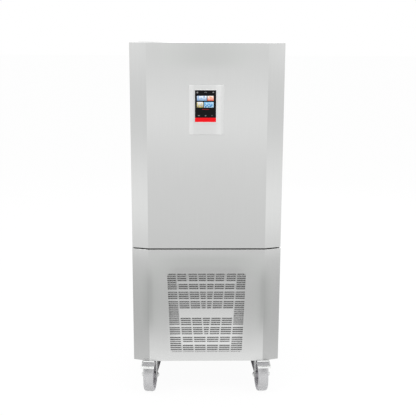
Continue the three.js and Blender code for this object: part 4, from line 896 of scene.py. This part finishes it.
CASTORS = {  # the swivel's place and the turn about it, in degrees
    "front_left": (-269, -274, -6), "front_right": (269, -274, 4.5),
    "rear_left": (-269, 310, -5), "rear_right": (269, 310, 8),
}
AXLE = (-35.0, 80.0)
WHEEL_SIDES = 64
TYRE = (  # radius, distance from the middle, and 1 where the tread starts after it
    (60.7, 20, 0), (62, 22.6, 0), (70, 24.6, 0), (74.4, 24, 1), (77.4, 22, 1), (79.2, 18.4, 1),
    (79.9, 12, 1), (80, 0, 1), (79.9, -12, 1), (79.2, -18.4, 1), (77.4, -22, 1), (74.4, -24, 0),
    (70, -24.6, 0), (62, -22.6, 0), (60.7, -20, 0),
)
RIM_FACE = (
    (6.6, 29.5), (12, 29.5), (14.5, 28.4), (15.6, 26), (18.6, 9), (21, 6.6), (25, 6), (43, 6), (46, 7.4),
    (50.5, 18.4), (52, 19.8), (59.6, 19.8), (60.5, 19),
)
RIM = (*RIM_FACE, *((radius, -out) for radius, out in reversed(RIM_FACE)))

tread_rubber = moulded("tread_rubber", (0.65, 0.65, 0.66), 0.5, grain=0.1, clouds=0.12)
flank_rubber = moulded("flank_rubber", (0.60, 0.59, 0.615), 0.5, grain=0.1, clouds=0.15)
rim_grey = moulded("rim_grey", (0.45, 0.44, 0.46), 0.45, clouds=0.15)
plated_steel = steel("plated_steel", 0.72, 0.3, lines=0.02, clouds=0.08)
# Painted highlight: the pedal's steel is painted lighter than the other plated steel, standing in for
# the light its lip catches from the floor.
pedal_highlight_steel = steel("pedal_highlight_steel", 0.9, 0.3, lines=0.02, clouds=0.06)
# Painted shade: a darker grey for the pedal's pocket and inner end, where the panel above shades it.
pedal_pocket_shade = moulded("pedal_pocket_shade", (0.43, 0.43, 0.44), 0.5, grain=0.1, clouds=0.15)
# Painted shade: a dark grey for the fork's flat sides and rear flanges, which stand in shade.
fork_side_shade = moulded("fork_side_shade", (0.24, 0.237, 0.245), 0.45, grain=0.12, clouds=0.2)


def lathe(shape, profile, place, sides, closed=False):
    """Adds a turned form to a shape: (radius, height) points about z, put in place by a matrix.

    A point may also hold the number of the finish that follows it.
    """
    rings = []
    for radius, height, *_ in profile:
        turns = [i * math.tau / sides for i in range(sides if radius else 1)]
        rings.append([
            shape.verts.new(place @ Vector((radius * math.cos(turn), radius * math.sin(turn), height)))
            for turn in turns])
    made = []
    for point, ring, following in zip(profile, rings, rings[1:] + rings[:1] if closed else rings[1:]):
        for i in range(sides):
            j = (i + 1) % sides
            corners = [ring[i % len(ring)], ring[j % len(ring)]]
            corners += [following[j % len(following)], following[i % len(following)]]
            face = shape.faces.new(dict.fromkeys(corners))
            face.material_index = point[2] if len(point) > 2 else 0
            made.append(face)
    bmesh.ops.recalc_face_normals(shape, faces=made)


def pointing(axis, place):
    """The matrix that turns z to an axis and moves to a place."""
    return Matrix.Translation(place) @ Vector(axis).to_track_quat("Z", "Y").to_matrix().to_4x4()


TO_THE_RIGHT = (1.0, 0.0, 0.0)
PEDAL_HALF = 32.5
PEDAL_END = (31.8, 0.7)  # where the pad's rounded end starts, and how much it thins
PEDAL_TOP = (
    (-64, 168.0), (-71, 167.1), (-75, 166.6), (-115, 161.4), (-119, 160.9), (-129.5, 159.6),
    (-131.4, 158.8), (-132, 157), (-132, 153.2), (-131.2, 152))
PEDAL_UNDER = ((-130, 152), (-129.2, 153.2), (-129.2, 156.2), (-64, 164.8))
PEDAL_POCKET = (26.0, 23.0, 2.0)  # half width at its edge and on its floor, and depth
PEDAL_UPSTAND = ((-84.6, 165.2), (-84.0, 167.0), (-82.6, 171.4), (-80.8, 171.4), (-81.4, 165.2))
UPSTAND_HALF = 27.5
TONGUE = ((-28.4, 28.4), (-65, -34), (165, 168))
PEDAL_PIVOT = (-31, 165)
PIVOT_BARREL = (4.0, 28.4)
PIVOT_PIN = (3.0, 35.5)
PIN_CORNER = 0.4
PIN_SIDES = 20


def pedal_shape(inner):
    """A pressed pedal: a pad with a shallow pocket and a folded lip, on a tongue with its pin.

    Its pocket and the top towards the inner end take a darker grey of painted shade; the inner side is 1
    for the right and -1 for the left.
    """
    shape = bmesh.new()
    edge, floor, depth = PEDAL_POCKET
    half_sections = (0, floor, edge, PEDAL_END[0], PEDAL_HALF)
    sections = []
    for x in (*(-out for out in reversed(half_sections[1:])), *half_sections):
        end = PEDAL_END[1] if abs(x) == PEDAL_HALF else 0.0
        sunk = depth if abs(x) <= floor else 0.0
        top = [(y, z - end - (sunk if 1 < i < 4 else 0.0)) for i, (y, z) in enumerate(PEDAL_TOP)]
        under = [(y, z + end) for y, z in PEDAL_UNDER]
        sections.append([shape.verts.new((x, y, z)) for y, z in [*top, *under]])
    made = [shape.faces.new(sections[0]), shape.faces.new(sections[-1])]
    # Painted shade on the inner end and, below, on the pocket.
    made[(inner + 1) // 2].material_index = 1
    count = len(sections[0])
    for near, far in zip(sections, sections[1:]):
        for i in range(count):
            face = shape.faces.new((near[i], near[(i + 1) % count], far[(i + 1) % count], far[i]))
            face.material_index = int(0 < i < 4 and inner * (near[i].co.x + far[i].co.x) > -2 * edge)
            made.append(face)
    bmesh.ops.recalc_face_normals(shape, faces=made)
    slab(shape, *TONGUE)
    prism(shape, PEDAL_UPSTAND, "x", -UPSTAND_HALF, UPSTAND_HALF)
    for radius, half in (PIVOT_BARREL, PIVOT_PIN):
        end = [(0, half), (radius - PIN_CORNER, half), (radius, half - PIN_CORNER)]
        profile = [*((r, -z) for r, z in end), *reversed(end)]
        lathe(shape, profile, pointing(TO_THE_RIGHT, (0, *PEDAL_PIVOT)), PIN_SIDES)
    return shape


FORK_SIDE = 33.4  # outer face of the fork's legs
FRONT_FLANGE = ((29.9, 35.2), (-51.4, -48.6), (88, 160))
REAR_FLANGE = ((-12, 88), (50, 160), (50, 172), (47, 172), (47, 161), (-15, 89))
REAR_FLANGE_IN = 31
REAR_FLARE = 0.26  # how fast the fork's rear edges open out towards the crown
FLARES_WITHIN = 0.4  # a corner this near the legs' outer face opens out
FLARED_PAST = 0.2  # a face this far outside it has opened out
REAR_START_Y = -40
SQUARELY = 0.9  # how squarely a face looks sideways to take the painted shade
for corner, (x, y, turn) in CASTORS.items():
    castor = Matrix.Translation((x, y, 0)) @ Matrix.Rotation(math.radians(turn), 4, "Z")
    wheel = castor @ pointing(TO_THE_RIGHT, (0, *AXLE))
    tyre, rim = bmesh.new(), bmesh.new()
    lathe(tyre, TYRE, wheel, WHEEL_SIDES, closed=True)
    stand_in(f"castor_tyre_{corner}", "turned", tyre, [flank_rubber, tread_rubber])
    lathe(rim, RIM, wheel, WHEEL_SIDES, closed=True)
    stand_in(f"castor_rim_{corner}", "turned", rim, rim_grey)
    fork = copy_of(f"castor_fork_{corner}")
    for side in (-1, 1):
        flange = slab(fork, sorted(side * out for out in FRONT_FLANGE[0]), *FRONT_FLANGE[1:])
        flange += prism(fork, REAR_FLANGE, "x", *sorted((side * REAR_FLANGE_IN, side * FORK_SIDE)))
        for vert in flange:
            if vert.co.y > REAR_START_Y and abs(vert.co.x) > FORK_SIDE - FLARES_WITHIN:
                vert.co.x = side * (FORK_SIDE + REAR_FLARE * (vert.co.z - REAR_FLANGE[0][1]))
        bmesh.ops.transform(fork, matrix=castor, verts=flange)
    soften(fork, 0.9)
    across, home = castor.to_3x3() @ Vector((1, 0, 0)), castor.inverted()
    # Painted shade: the legs' flat sides and the rear flanges take the dark grey.
    for face in fork.faces:
        spot = home @ face.calc_center_median()
        rear = abs(spot.x) > FORK_SIDE + FLARED_PAST and spot.y > REAR_START_Y
        face.material_index = int(rear or abs(face.normal.dot(across)) > SQUARELY)
    stand_in(f"castor_fork_{corner}", "pressed", fork, [plated_steel, fork_side_shade])
    eased(f"castor_axle_{corner}", plated_steel, 0.7)
    eased(f"castor_plate_{corner}", plated_steel, 0.7)
    if f"brake_pedal_{corner}" in SLOTS:
        pedal = pedal_shape(1 if x < 0 else -1)
        bmesh.ops.transform(pedal, matrix=castor, verts=pedal.verts)
        stand_in(f"brake_pedal_{corner}", "pressed", pedal, [pedal_highlight_steel, pedal_pocket_shade])

# ---- Door foam, gasket, grip and hinges -----------------------------------------------------
# The door is foamed in place. A grey-black magnetic gasket with a hollow bellows runs round its
# inside, a moulded cup makes the handle, and two folded brackets with pins carry it.

foam_cream = moulded("foam_cream", (0.72, 0.64, 0.42), 0.85, grain=0.3, clouds=0.2)
gasket_rubber = moulded("gasket_rubber", (0.05, 0.05, 0.053), 0.55, grain=0.15)
grip_black = moulded("grip_black", (0.03, 0.03, 0.032), 0.42, grain=0.2)
dress(foam_cream, "door_foam", "cabinet_foam")
GASKET_X = (-292.0, 292.0)
GASKET_Z = (792.5, 1618.0)
GASKET_WIDE = 24
GASKET_BACK = -286.7
BELLOWS = ((24, -285.2), (20.5, -284.6), (20, -283.6), (21, -282.2), (19.5, -280.8), (16, -280.3))
GASKET_PROFILE = (
    (0, GASKET_BACK), (GASKET_WIDE, GASKET_BACK), *BELLOWS,
    *((GASKET_WIDE - out, y) for out, y in reversed(BELLOWS)))
gasket = bmesh.new()
framed(gasket, GASKET_X, GASKET_Z, GASKET_PROFILE)
stand_in("door_gasket", "bellows", gasket, gasket_rubber)
eased("door_grip", grip_black, 0.9)
for end in ("lower", "upper"):
    eased(f"hinge_bracket_{end}", plated_steel, 0.8)

# ---- Chamber --------------------------------------------------------------------------------
# The food chamber is a seamless bright steel liner. Two racks of folded runners on square posts
# stand at its sides, hung so that they lift out for washing.

dress(chamber_steel, "chamber_liner")
rack_steel = steel("rack_steel", 0.68, 0.26, stretch=FRONT_TO_BACK)
for side in ("left", "right"):
    eased(f"rack_{side}", rack_steel, 0.5)

# ---- Chamber fans ---------------------------------------------------------------------------
# A folded steel shroud stands before the evaporator. In its two round openings turn moulded fans
# on small motors held by arms, and a domed wire guard covers each opening.

BLADES = 5
BLADE_ACROSS = 7  # faces across a blade and along it
BLADE_ALONG = 8
BLADE_THICK = 2.6
BLADE_PITCH = (38, 22)  # degrees at the root and at the tip
BLADE_CAMBER = 2.4
BLADE_SWEEP = 0.25
BLADE_ROOT_IN = 2  # how far the root goes into the hub
BLADE_WIDTH = (0.68, 0.5, 0.12)  # shares of the chord: the least, the swell's, and less at the tip
BLADE_SWELL = (0.75, 0.1)  # how much of a half wave the swell takes up, and where on it it starts
BLADE_EDGE_THINS = 0.75
BLADE_TIP_ROUND = (2.0, 3.0)  # how much the tip is shortened, and how much more at its corners
HUB_FACE = (  # shares of the hub's radius, and millimetres behind its front
    (0, 1.6), (0.18, 1.6), (0.2, 0.2), (0.34, 0.2), (0.38, 2.4), (0.72, 3.2), (0.9, 1.2), (1, 4))
HUB_BACK = (2, 0.96)  # how far before its back the hub starts to narrow, and the share left there
HUB_SIDES = 40
BACKWARDS = (0.0, 1.0, 0.0)


def blade_point(share, across, turn, root, tip, chord, side):
    """A point of a twisted, cambered blade: its share of the way out, and its place across."""
    radius = root + (tip - root) * share
    least, swelling, less = BLADE_WIDTH
    along, start = BLADE_SWELL
    swell = math.sin(math.pi * min(1.0, along * share + start))
    width = chord * (least + swelling * swell - less * share ** 4)
    pitch = math.radians(BLADE_PITCH[0] + (BLADE_PITCH[1] - BLADE_PITCH[0]) * share)
    rise = across * width * math.sin(pitch) + BLADE_CAMBER * (1 - (2 * across) ** 2)
    thin = BLADE_THICK * (1 - BLADE_EDGE_THINS * (2 * across) ** 4) / 2
    angle = turn + across * width * math.cos(pitch) / radius + BLADE_SWEEP * share ** 2
    shortened, more = BLADE_TIP_ROUND
    reach = radius - (shortened + more * abs(across)) * share ** 6
    return Vector((reach * math.cos(angle), reach * math.sin(angle), rise + side * thin))


def blade(shape, place, turn, root, tip, chord):
    """Adds one blade to a shape; it turns about z of place."""
    under, over = (
        [[shape.verts.new(place @ blade_point(
            k / BLADE_ALONG, i / BLADE_ACROSS - 0.5, turn, root, tip, chord, side))
          for i in range(BLADE_ACROSS + 1)] for k in range(BLADE_ALONG + 1)]
        for side in (-1, 1))
    made = []
    for rows in (under, over):
        for near, far in zip(rows, rows[1:]):
            for i in range(BLADE_ACROSS):
                made.append(shape.faces.new((near[i], near[i + 1], far[i + 1], far[i])))
    rims = [list(zip(under[k], over[k])) for k in (0, -1)]
    rims += [[(row[i], top[i]) for row, top in zip(under, over)] for i in (0, -1)]
    for rim in rims:
        for (a, b), (c, d) in zip(rim, rim[1:]):
            made.append(shape.faces.new((a, b, d, c)))
    bmesh.ops.recalc_face_normals(shape, faces=made)


def fan(node, middle_z, front_y, hub, depth, tip, chord):
    """A moulded axial fan, its hub's front at front_y, which stands for a CAD fan."""
    shape = bmesh.new()
    place = pointing(BACKWARDS, (0, front_y, middle_z))
    edge, left = HUB_BACK
    lathe(shape, [
        *((share * hub, height) for share, height in HUB_FACE),
        (hub, depth - edge), (left * hub, depth), (0, depth)], place, HUB_SIDES)
    middle = place @ Matrix.Translation((0, 0, depth / 2))
    for i in range(BLADES):
        blade(shape, middle, i * math.tau / BLADES, hub - BLADE_ROOT_IN, tip, chord)
    stand_in(node, "moulded", shape, fan_black)


TUBE, tube_in, tube_out = geometry_tree(
    "tube", Radius="Float", Bend="Float", Sides="Int", Finish="Material")
ring = node_in(TUBE, "GeometryNodeCurvePrimitiveCircle", {
    "Resolution": tube_in["Sides"], "Radius": tube_in["Radius"]})
finished(TUBE, chain(
    TUBE, tube_in["Geometry"],
    ("GeometryNodeMeshToCurve", {}, {}),
    ("GeometryNodeFilletCurve", {
        "Radius": tube_in["Bend"], "Count": 7, "Limit Radius": True}, {"mode": "POLY"}),
    ("GeometryNodeCurveToMesh", {"Profile Curve": ring.outputs[0], "Fill Caps": True}, {}),
), tube_in["Finish"], tube_out)


def tubes(paths, radius, finish, bend=0.0, sides=12):
    """The mesh of round tubes or wires along paths; one that ends where it starts is a ring."""
    points, edges = [], []
    for path in paths:
        closed = path[0] == path[-1]
        spots = path[:-1] if closed else path
        first, last = len(points), len(points) + len(spots) - 1
        edges += [(i, i + 1) for i in range(first, last)]
        if closed:
            edges.append((last, first))
        points += spots
    return grown(
        TUBE, points_mesh(points, edges), Radius=radius, Bend=bend, Sides=sides, Finish=finish)


GUARD_RINGS = (14, 26, 38, 50, 62, 74, 86, 98, 110, 119)
GUARD_FEET = 124.0
GUARD_Y = 117.0
GUARD_DOME = 6.5
GUARD_WIRE = 1.1
RING_SIDES = 48
SPOKES = 4


def guard_paths(middle_z):
    """The paths of a domed guard's wire rings and of its bent spokes."""
    def at(radius, turn, y):
        return radius * math.cos(turn), y, middle_z + radius * math.sin(turn)

    dome = [
        (radius, GUARD_Y - GUARD_DOME * (1 - (radius / GUARD_RINGS[-1]) ** 4))
        for radius in GUARD_RINGS]
    turns = [i * math.tau / RING_SIDES for i in range(RING_SIDES)] + [0.0]
    rings = [[at(radius, turn, y) for turn in turns] for radius, y in dome]
    spokes = [
        [at(radius, (i + 0.5) * math.tau / SPOKES, y + GUARD_WIRE)
         for radius, y in (*dome, (GUARD_FEET, GUARD_Y))]
        for i in range(SPOKES)]
    return rings + spokes


fan_black = moulded("fan_black", (0.028, 0.028, 0.03), 0.4, grain=0.15, clouds=0.2)
shroud_steel = steel("shroud_steel", 0.62, 0.3)
motor_zinc = steel("motor_zinc", 0.5, 0.42, clouds=0.25)
wire_steel = steel("wire_steel", 0.7, 0.25, lines=0.0)
FAN_Z = {"lower": 999.875, "upper": 1410.625}
eased("fan_shroud", shroud_steel, 0.5)
for place, middle_z in FAN_Z.items():
    fan(f"evaporator_fan_{place}", middle_z, front_y=125.0, hub=30.0, depth=30.0, tip=109.5, chord=50.0)
    eased(f"evaporator_motor_{place}", motor_zinc, 1.0)
    guard = tubes(guard_paths(middle_z), GUARD_WIRE, wire_steel, sides=6)
    piece(f"fan_guard_{place}", guard, None, "cabinet")

# ---- Finned coils ---------------------------------------------------------------------------
# Copper tubes run to and fro through thin aluminium fins between two end plates. The evaporator
# stands behind the chamber's shroud, and the condenser right behind the filter.

FIN = 0.35
FIN_SHORT = 4  # how much lower than the end plates the fins are, at each end
FIRST_FIN = 6
END_PLATE = 2
COIL_X = (-205, 205)
COIL_BENDS = 6
COIL_ROWS = (-0.22, 0.22)  # places of the two rows of tubes, as shares of the depth
COIL_TUBE = 4.8
TUBE_IN = 4  # how far a bend starts inside the end plate
fin_aluminium = steel("fin_aluminium", 0.62, 0.38, stretch=SIDEWAYS, lines=0.12)
end_zinc = steel("end_zinc", 0.48, 0.42, clouds=0.3)
copper_bright = finish_with(
    "copper_bright", GRAIN, (0.72, 0.36, 0.22), metallic=1.0,
    Stretch=(60, 60, 60), Roughness=0.32, Lines=0.12, Clouds=0.25)


def coil(node, y, z, plate_y, pitch):
    """Fins, end plates and the tubes' return bends of a coil, which stand for a CAD coil."""
    left, right = COIL_X
    fin = bmesh.new()
    slab(fin, (-FIN / 2, FIN / 2), y, (z[0] + FIN_SHORT, z[1] - FIN_SHORT))
    count = int((right - left - 2 * FIRST_FIN) / pitch)
    fins = in_a_row(fin, count, (left + FIRST_FIN, 0, 0), (pitch, 0, 0), fin_aluminium)
    stand_in(node, "fins", fins)
    ends = bmesh.new()
    for low in (left, right - END_PLATE):
        slab(ends, (low, low + END_PLATE), plate_y, z)
    soften(ends, 0.5)
    stand_in(node, "ends", ends, end_zinc)
    step = (z[1] - z[0]) / (2 * COIL_BENDS)
    start, out = right - TUBE_IN, right + step / 2 - 1
    paths = []
    for shift in COIL_ROWS:
        row_y = (y[0] + y[1]) / 2 + shift * (y[1] - y[0])
        for low in (z[0] + step * (2 * i + 0.5) for i in range(COIL_BENDS)):
            corners = ((start, low), (out, low), (out, low + step), (start, low + step))
            paths.append([(x, row_y, height) for x, height in corners])
    bends = tubes(paths, COIL_TUBE, copper_bright, bend=step / 2 - 0.1)
    piece(node + "_bends", bends, None, body_of(node), [node])


coil("evaporator_coil", y=(223, 313), z=(836.5, 1556.5), plate_y=(223, 332.7), pitch=4.5)
coil("condenser_coil", y=(-344, -284), z=(203.3, 575.3), plate_y=(-344, -284), pitch=3.4)

# ---- Machine compartment --------------------------------------------------------------------
# Under the chamber, on a zinc-plated tray, stand the condenser's cowl and fan, a hermetic
# compressor on rubber feet, the liquid receiver and the control box, joined by copper pipes.

PLATING, plating_in, plating_out = surface_group("zinc_flakes", Flakes="Float")
flakes = node_in(PLATING, "ShaderNodeTexVoronoi", {"Vector": plating_in["Place"], "Scale": 55.0})
flake = axes_of(PLATING, flakes.outputs["Color"])["X"]
centred = math_in(PLATING, "ADD", flake, -0.5)
level = math_in(PLATING, "MULTIPLY_ADD", centred, plating_in["Flakes"], 1.0)
surface_links(PLATING, plating_in, plating_out, level, rough=flake, share=0.15, height=flake)
galvanised = finish_with(
    "galvanised", PLATING, (0.5, 0.51, 0.52), metallic=1.0, relief=0.00001,
    Roughness=0.38, Flakes=0.22)
black_paint = moulded("black_paint", (0.022, 0.022, 0.024), 0.32, grain=0.1, clouds=0.25)
box_paint = moulded("box_paint", (0.42, 0.43, 0.43), 0.5, clouds=0.06)
mount_rubber = moulded("mount_rubber", (0.03, 0.03, 0.03), 0.75, grain=0.25)

TRAY_FRONT_Y = -359  # the tray's front edge, seen through the slots, is as grey as the filter
FORWARD_NORMAL = -0.7
dress(galvanised, "chamber_base_panel")
chassis = copy_of("chassis_base")
soften(chassis, 0.8)
for face in chassis.faces:
    foremost = face.calc_center_median().y < TRAY_FRONT_Y
    face.material_index = int(foremost and face.normal.y < FORWARD_NORMAL)
stand_in("chassis_base", "folded", chassis, [galvanised, filter_grey])
eased("condenser_shroud", galvanised, 0.5)
fan("condenser_fan", 389.3, front_y=-246.0, hub=38.0, depth=34.0, tip=139.5, chord=60.0)
eased("condenser_fan_motor", black_paint, 1.0)

COMPRESSOR = (150.0, 100.0, 203.3)
SHELL = (
    (0, 16), (52, 16), (62, 18), (74, 26), (80, 36), (82, 46), (82, 119.5), (83.5, 121), (86.6, 123.5),
    (87, 126), (87, 129.5), (86.6, 132), (83.5, 134.5), (82, 136), (81.5, 152), (78.5, 172), (71, 189),
    (58, 203), (40, 212), (20, 215), (0, 215.6),
)
BOSS = ((0, 160), (14, 160), (14, 219), (12, 222), (10.5, 226.8), (0, 226.8))
BOSS_OUT = 45
FOOTING = ((-105, 105), (-62, 62), (15, 19))
TERMINAL_BOX = ((-34, 34), (-104, -74), (70, 128))
FOOT = (
    (0, 0), (13, 0), (13, 4), (10.5, 6), (10.5, 9), (13, 11), (13, 15), (8, 15.5), (8, 19.5), (0, 19.5))
FEET = ((-90, -48), (90, -48), (90, 48), (-90, 48))
at_compressor = Matrix.Translation(COMPRESSOR)
shell, footing, terminal, feet = (bmesh.new() for _ in range(4))
lathe(shell, SHELL, at_compressor, sides=56)
for x in (-BOSS_OUT, BOSS_OUT):
    lathe(shell, BOSS, at_compressor @ Matrix.Translation((x, 0, 0)), sides=24)
for x, y in FEET:
    lathe(feet, FOOT, at_compressor @ Matrix.Translation((x, y, 0)), sides=24)
for shape, block, radius, segments in ((footing, FOOTING, 1.2, 2), (terminal, TERMINAL_BOX, 4, 3)):
    slab(shape, *block)
    soften(shape, radius, segments)
    bmesh.ops.translate(shape, vec=COMPRESSOR, verts=shape.verts)
stand_in("compressor", "shell", shell, black_paint)
stand_in("compressor", "footing", footing, galvanised)
stand_in("compressor", "terminal_box", terminal, fan_black)
stand_in("compressor", "feet", feet, mount_rubber)

RECEIVER = (-120, 110, 203.3)
VESSEL = (
    (0, 0.5), (27, 0.5), (30, 0), (30, 9), (32, 12), (41, 15), (47, 20), (50, 28), (50, 182), (48, 190),
    (43, 197), (34, 203), (22, 207), (9, 208), (9, 209.4), (7, 210), (0, 210))
receiver = bmesh.new()
lathe(receiver, VESSEL, Matrix.Translation(RECEIVER), sides=48)
stand_in("liquid_receiver", "vessel", receiver, black_paint)
eased("control_box", box_paint, 1.6, segments=3)

PIPE_LEVEL = 640.0
BOSS_TOP = 430.6
SUCTION_PATH = [
    (205.3, 295, 856.5), (255, 295, 856.5), (255, 295, PIPE_LEVEL), (195, 100, PIPE_LEVEL),
    (195, 100, BOSS_TOP)]
DISCHARGE_PATH = [
    (105, 100, BOSS_TOP), (105, 100, PIPE_LEVEL), (105, -314, PIPE_LEVEL), (105, -314, 571.6)]
LIQUID_LEVEL = 610
LIQUID_PATH = [
    (-192, -314, 575), (-192, -314, LIQUID_LEVEL), (-192, 60, LIQUID_LEVEL),
    (*RECEIVER[:2], LIQUID_LEVEL), (*RECEIVER[:2], 413)]
for node, path, radius in (
        ("suction_pipe", SUCTION_PATH, 9.0), ("discharge_pipe", DISCHARGE_PATH, 6.0)):
    stand_in(node, "drawn", tubes([path], radius, copper_bright, bend=24.0, sides=20))
liquid_line = tubes([LIQUID_PATH], radius=4.0, finish=copper_bright, bend=20.0, sides=16)
piece("liquid_line", liquid_line, None, "cabinet")

# ---- Rear -----------------------------------------------------------------------------------
# The back is closed by flat sheets. The lower one has two columns of pressed louvres that let the
# warm air out, and a screwed gland where the supply cable would enter.

LOUVRE_HALF = 125.0
LOUVRE_X = (-160.0, 160.0)
LOUVRE_PITCH = 24.0
LOUVRE_Z = [440.0 + LOUVRE_PITCH * i for i in range(10)]
REAR_Y = 393.0
# Painted reflections: bands of lighter and darker grey up the back sheets, by height in metres.
BACK_REFLECTIONS = [(0.17, 0.58), (0.5, 0.48), (0.9, 0.53), (1.3, 0.58), (1.68, 0.50)]
back_steel = steel("back_steel", shade_along("Z", BACK_REFLECTIONS), 0.36, stretch=SIDEWAYS)
for node in ("back_panel", "rear_vent_panel"):
    eased(node, back_steel, 0.5)
eased("cable_gland", fan_black, 0.8)

FIXED, fixed_in, fixed_out = geometry_tree("fixings", Part="Object", Finish="Material")
facing = node_in(
    FIXED, "GeometryNodeInputNamedAttribute", {"Name": "facing"}, data_type="FLOAT_VECTOR")
turned = node_in(
    FIXED, "FunctionNodeAlignRotationToVector", {"Vector": facing.outputs["Attribute"]}, axis="Z")
part = node_in(FIXED, "GeometryNodeObjectInfo", {"Object": fixed_in["Part"]})
in_place = node_in(FIXED, "GeometryNodeInstanceOnPoints", {
    "Points": fixed_in["Geometry"], "Instance": part.outputs["Geometry"],
    "Rotation": turned.outputs[0]})
finished(FIXED, in_place.outputs[0], fixed_in["Finish"], fixed_out)


def fixings(name, places, facing, shape, finish):
    """The same shape at many places of the cabinet, all looking one way, as one piece."""
    part = tool(shape)
    points = points_mesh(places, facing=[facing] * len(places))
    piece(name, grown(FIXED, points, [part], Part=part, Finish=finish), None, "cabinet")


HOOD_OUTSIDE = ((0, 9), (2.2, 7.5), (4.4, 4.0), (5.2, -1), (5.2, -5))
HOOD_INSIDE = ((4.2, -5), (4.0, -1.4), (3.4, 2.6), (1.6, 5.8), (0, 7.4))
CHEEK = 1
HOOD_SUNK = 0.2
UP = (0.0, 0.0, 1.0)
hood = bmesh.new()
prism(hood, HOOD_OUTSIDE + HOOD_INSIDE, "x", -LOUVRE_HALF, LOUVRE_HALF)
for end in (-LOUVRE_HALF, LOUVRE_HALF - CHEEK):
    prism(hood, (*HOOD_OUTSIDE, (0, -5)), "x", end, end + CHEEK)
fixings(
    "rear_louvres", [(x, REAR_Y - HOOD_SUNK, z) for x in LOUVRE_X for z in LOUVRE_Z],
    UP, hood, back_steel)

# ---- Screws and bolts -----------------------------------------------------------------------
# Pan-head screws with a round recess hold the rear sheets, the hinge brackets, the shroud, the
# control box and the cowl, and hexagon bolts hold the castors' plates and the compressor.

SCREW_SUNK = 0.4
SCREW_DOME = (  # shares of the head's radius, outwards and up
    (1, 0.25), (0.88, 0.5), (0.6, 0.62), (0.42, 0.62), (0.38, 0.2), (0, 0.2))
WASHER = ((0, -0.3), (9.36, -0.3), (9.36, 1.0), (8.84, 1.4), (0, 1.4))
HEX_CORNER = 13.0 / math.sqrt(3)
HEX_CHAMFER = (0.86, 0.8)  # share of the corner left at the top, and how far below it starts


def pan_head(radius):
    """A pan-head screw's head on its seat, with a recess."""
    head = bmesh.new()
    dome = [(radius * out, radius * up) for out, up in SCREW_DOME]
    lathe(head, [(0, -SCREW_SUNK), (radius, -SCREW_SUNK), *dome], Matrix(), sides=12)
    return head


def hex_head(height):
    """A hexagon bolt's head on a round washer."""
    head = bmesh.new()
    lathe(head, WASHER, Matrix(), sides=18)
    narrowed, below = HEX_CHAMFER
    lathe(head, (
        (0, 1.2), (HEX_CORNER, 1.2), (HEX_CORNER, height - below), (narrowed * HEX_CORNER, height),
        (0, height)), Matrix(), sides=6)
    return head


REAR_SCREWS = [(x, REAR_Y, z) for x in (-336, 336) for z in (760, 930, 1100, 1270, 1440, 1610)]
REAR_SCREWS += [(x, REAR_Y, z) for x in (-200, 0, 200) for z in (746, 1661, 719, 187)]
REAR_SCREWS += [(x, REAR_Y, z) for x in (-336, 336) for z in (195, 330, 465, 600, 712)]
SHROUD_SCREWS = [(x, 119.0, z) for x in (-238, 238) for z in (815, 1060, 1350, 1595)]
HINGE_SCREWS = [(-335, -283.3, z) for z in (754, 772, 1645, 1663)]
BOX_SCREWS = [(-207.2, y, z) for y in (148, 368) for z in (475, 695)]
COWL_SCREWS = [(x, -245.7, z) for x in (-190, 190) for z in (220, 389, 558)]
FORWARDS = (0.0, -1.0, 0.0)
for name, places, facing, radius, like in (
    ("rear_screws", REAR_SCREWS, BACKWARDS, 4.2, "back_panel"),
    ("shroud_screws", SHROUD_SCREWS, FORWARDS, 4.2, "fan_shroud"),
    ("hinge_screws", HINGE_SCREWS, FORWARDS, 4.5, "hinge_bracket_lower"),
    ("control_box_screws", BOX_SCREWS, TO_THE_RIGHT, 3.6, "control_box"),
    ("cowl_screws", COWL_SCREWS, BACKWARDS, 3.6, "condenser_shroud"),
):
    fixings(name, places, facing, pan_head(radius), plated_steel)

BOLTS_OUT = (53, 41)  # how far a plate's bolts are from its middle, across and along
PLATE_UNDERSIDE = 195.7
DOWN = (0.0, 0.0, -1.0)
CASTOR_BOLTS = [
    (x + i * BOLTS_OUT[0], y + j * BOLTS_OUT[1], PLATE_UNDERSIDE)
    for x, y, turn in CASTORS.values() for i in (-1, 1) for j in (-1, 1)]
FOOT_BOLTS = [at_compressor @ Vector((x, y, FOOT[-1][1])) for x, y in sorted(FEET)]
for name, places, facing, height, like in (
    ("castor_bolts", CASTOR_BOLTS, DOWN, 7.5, "castor_plate_front_left"),
    ("compressor_bolts", FOOT_BOLTS, UP, 8.5, "compressor"),
):
    fixings(name, places, facing, hex_head(height), plated_steel)
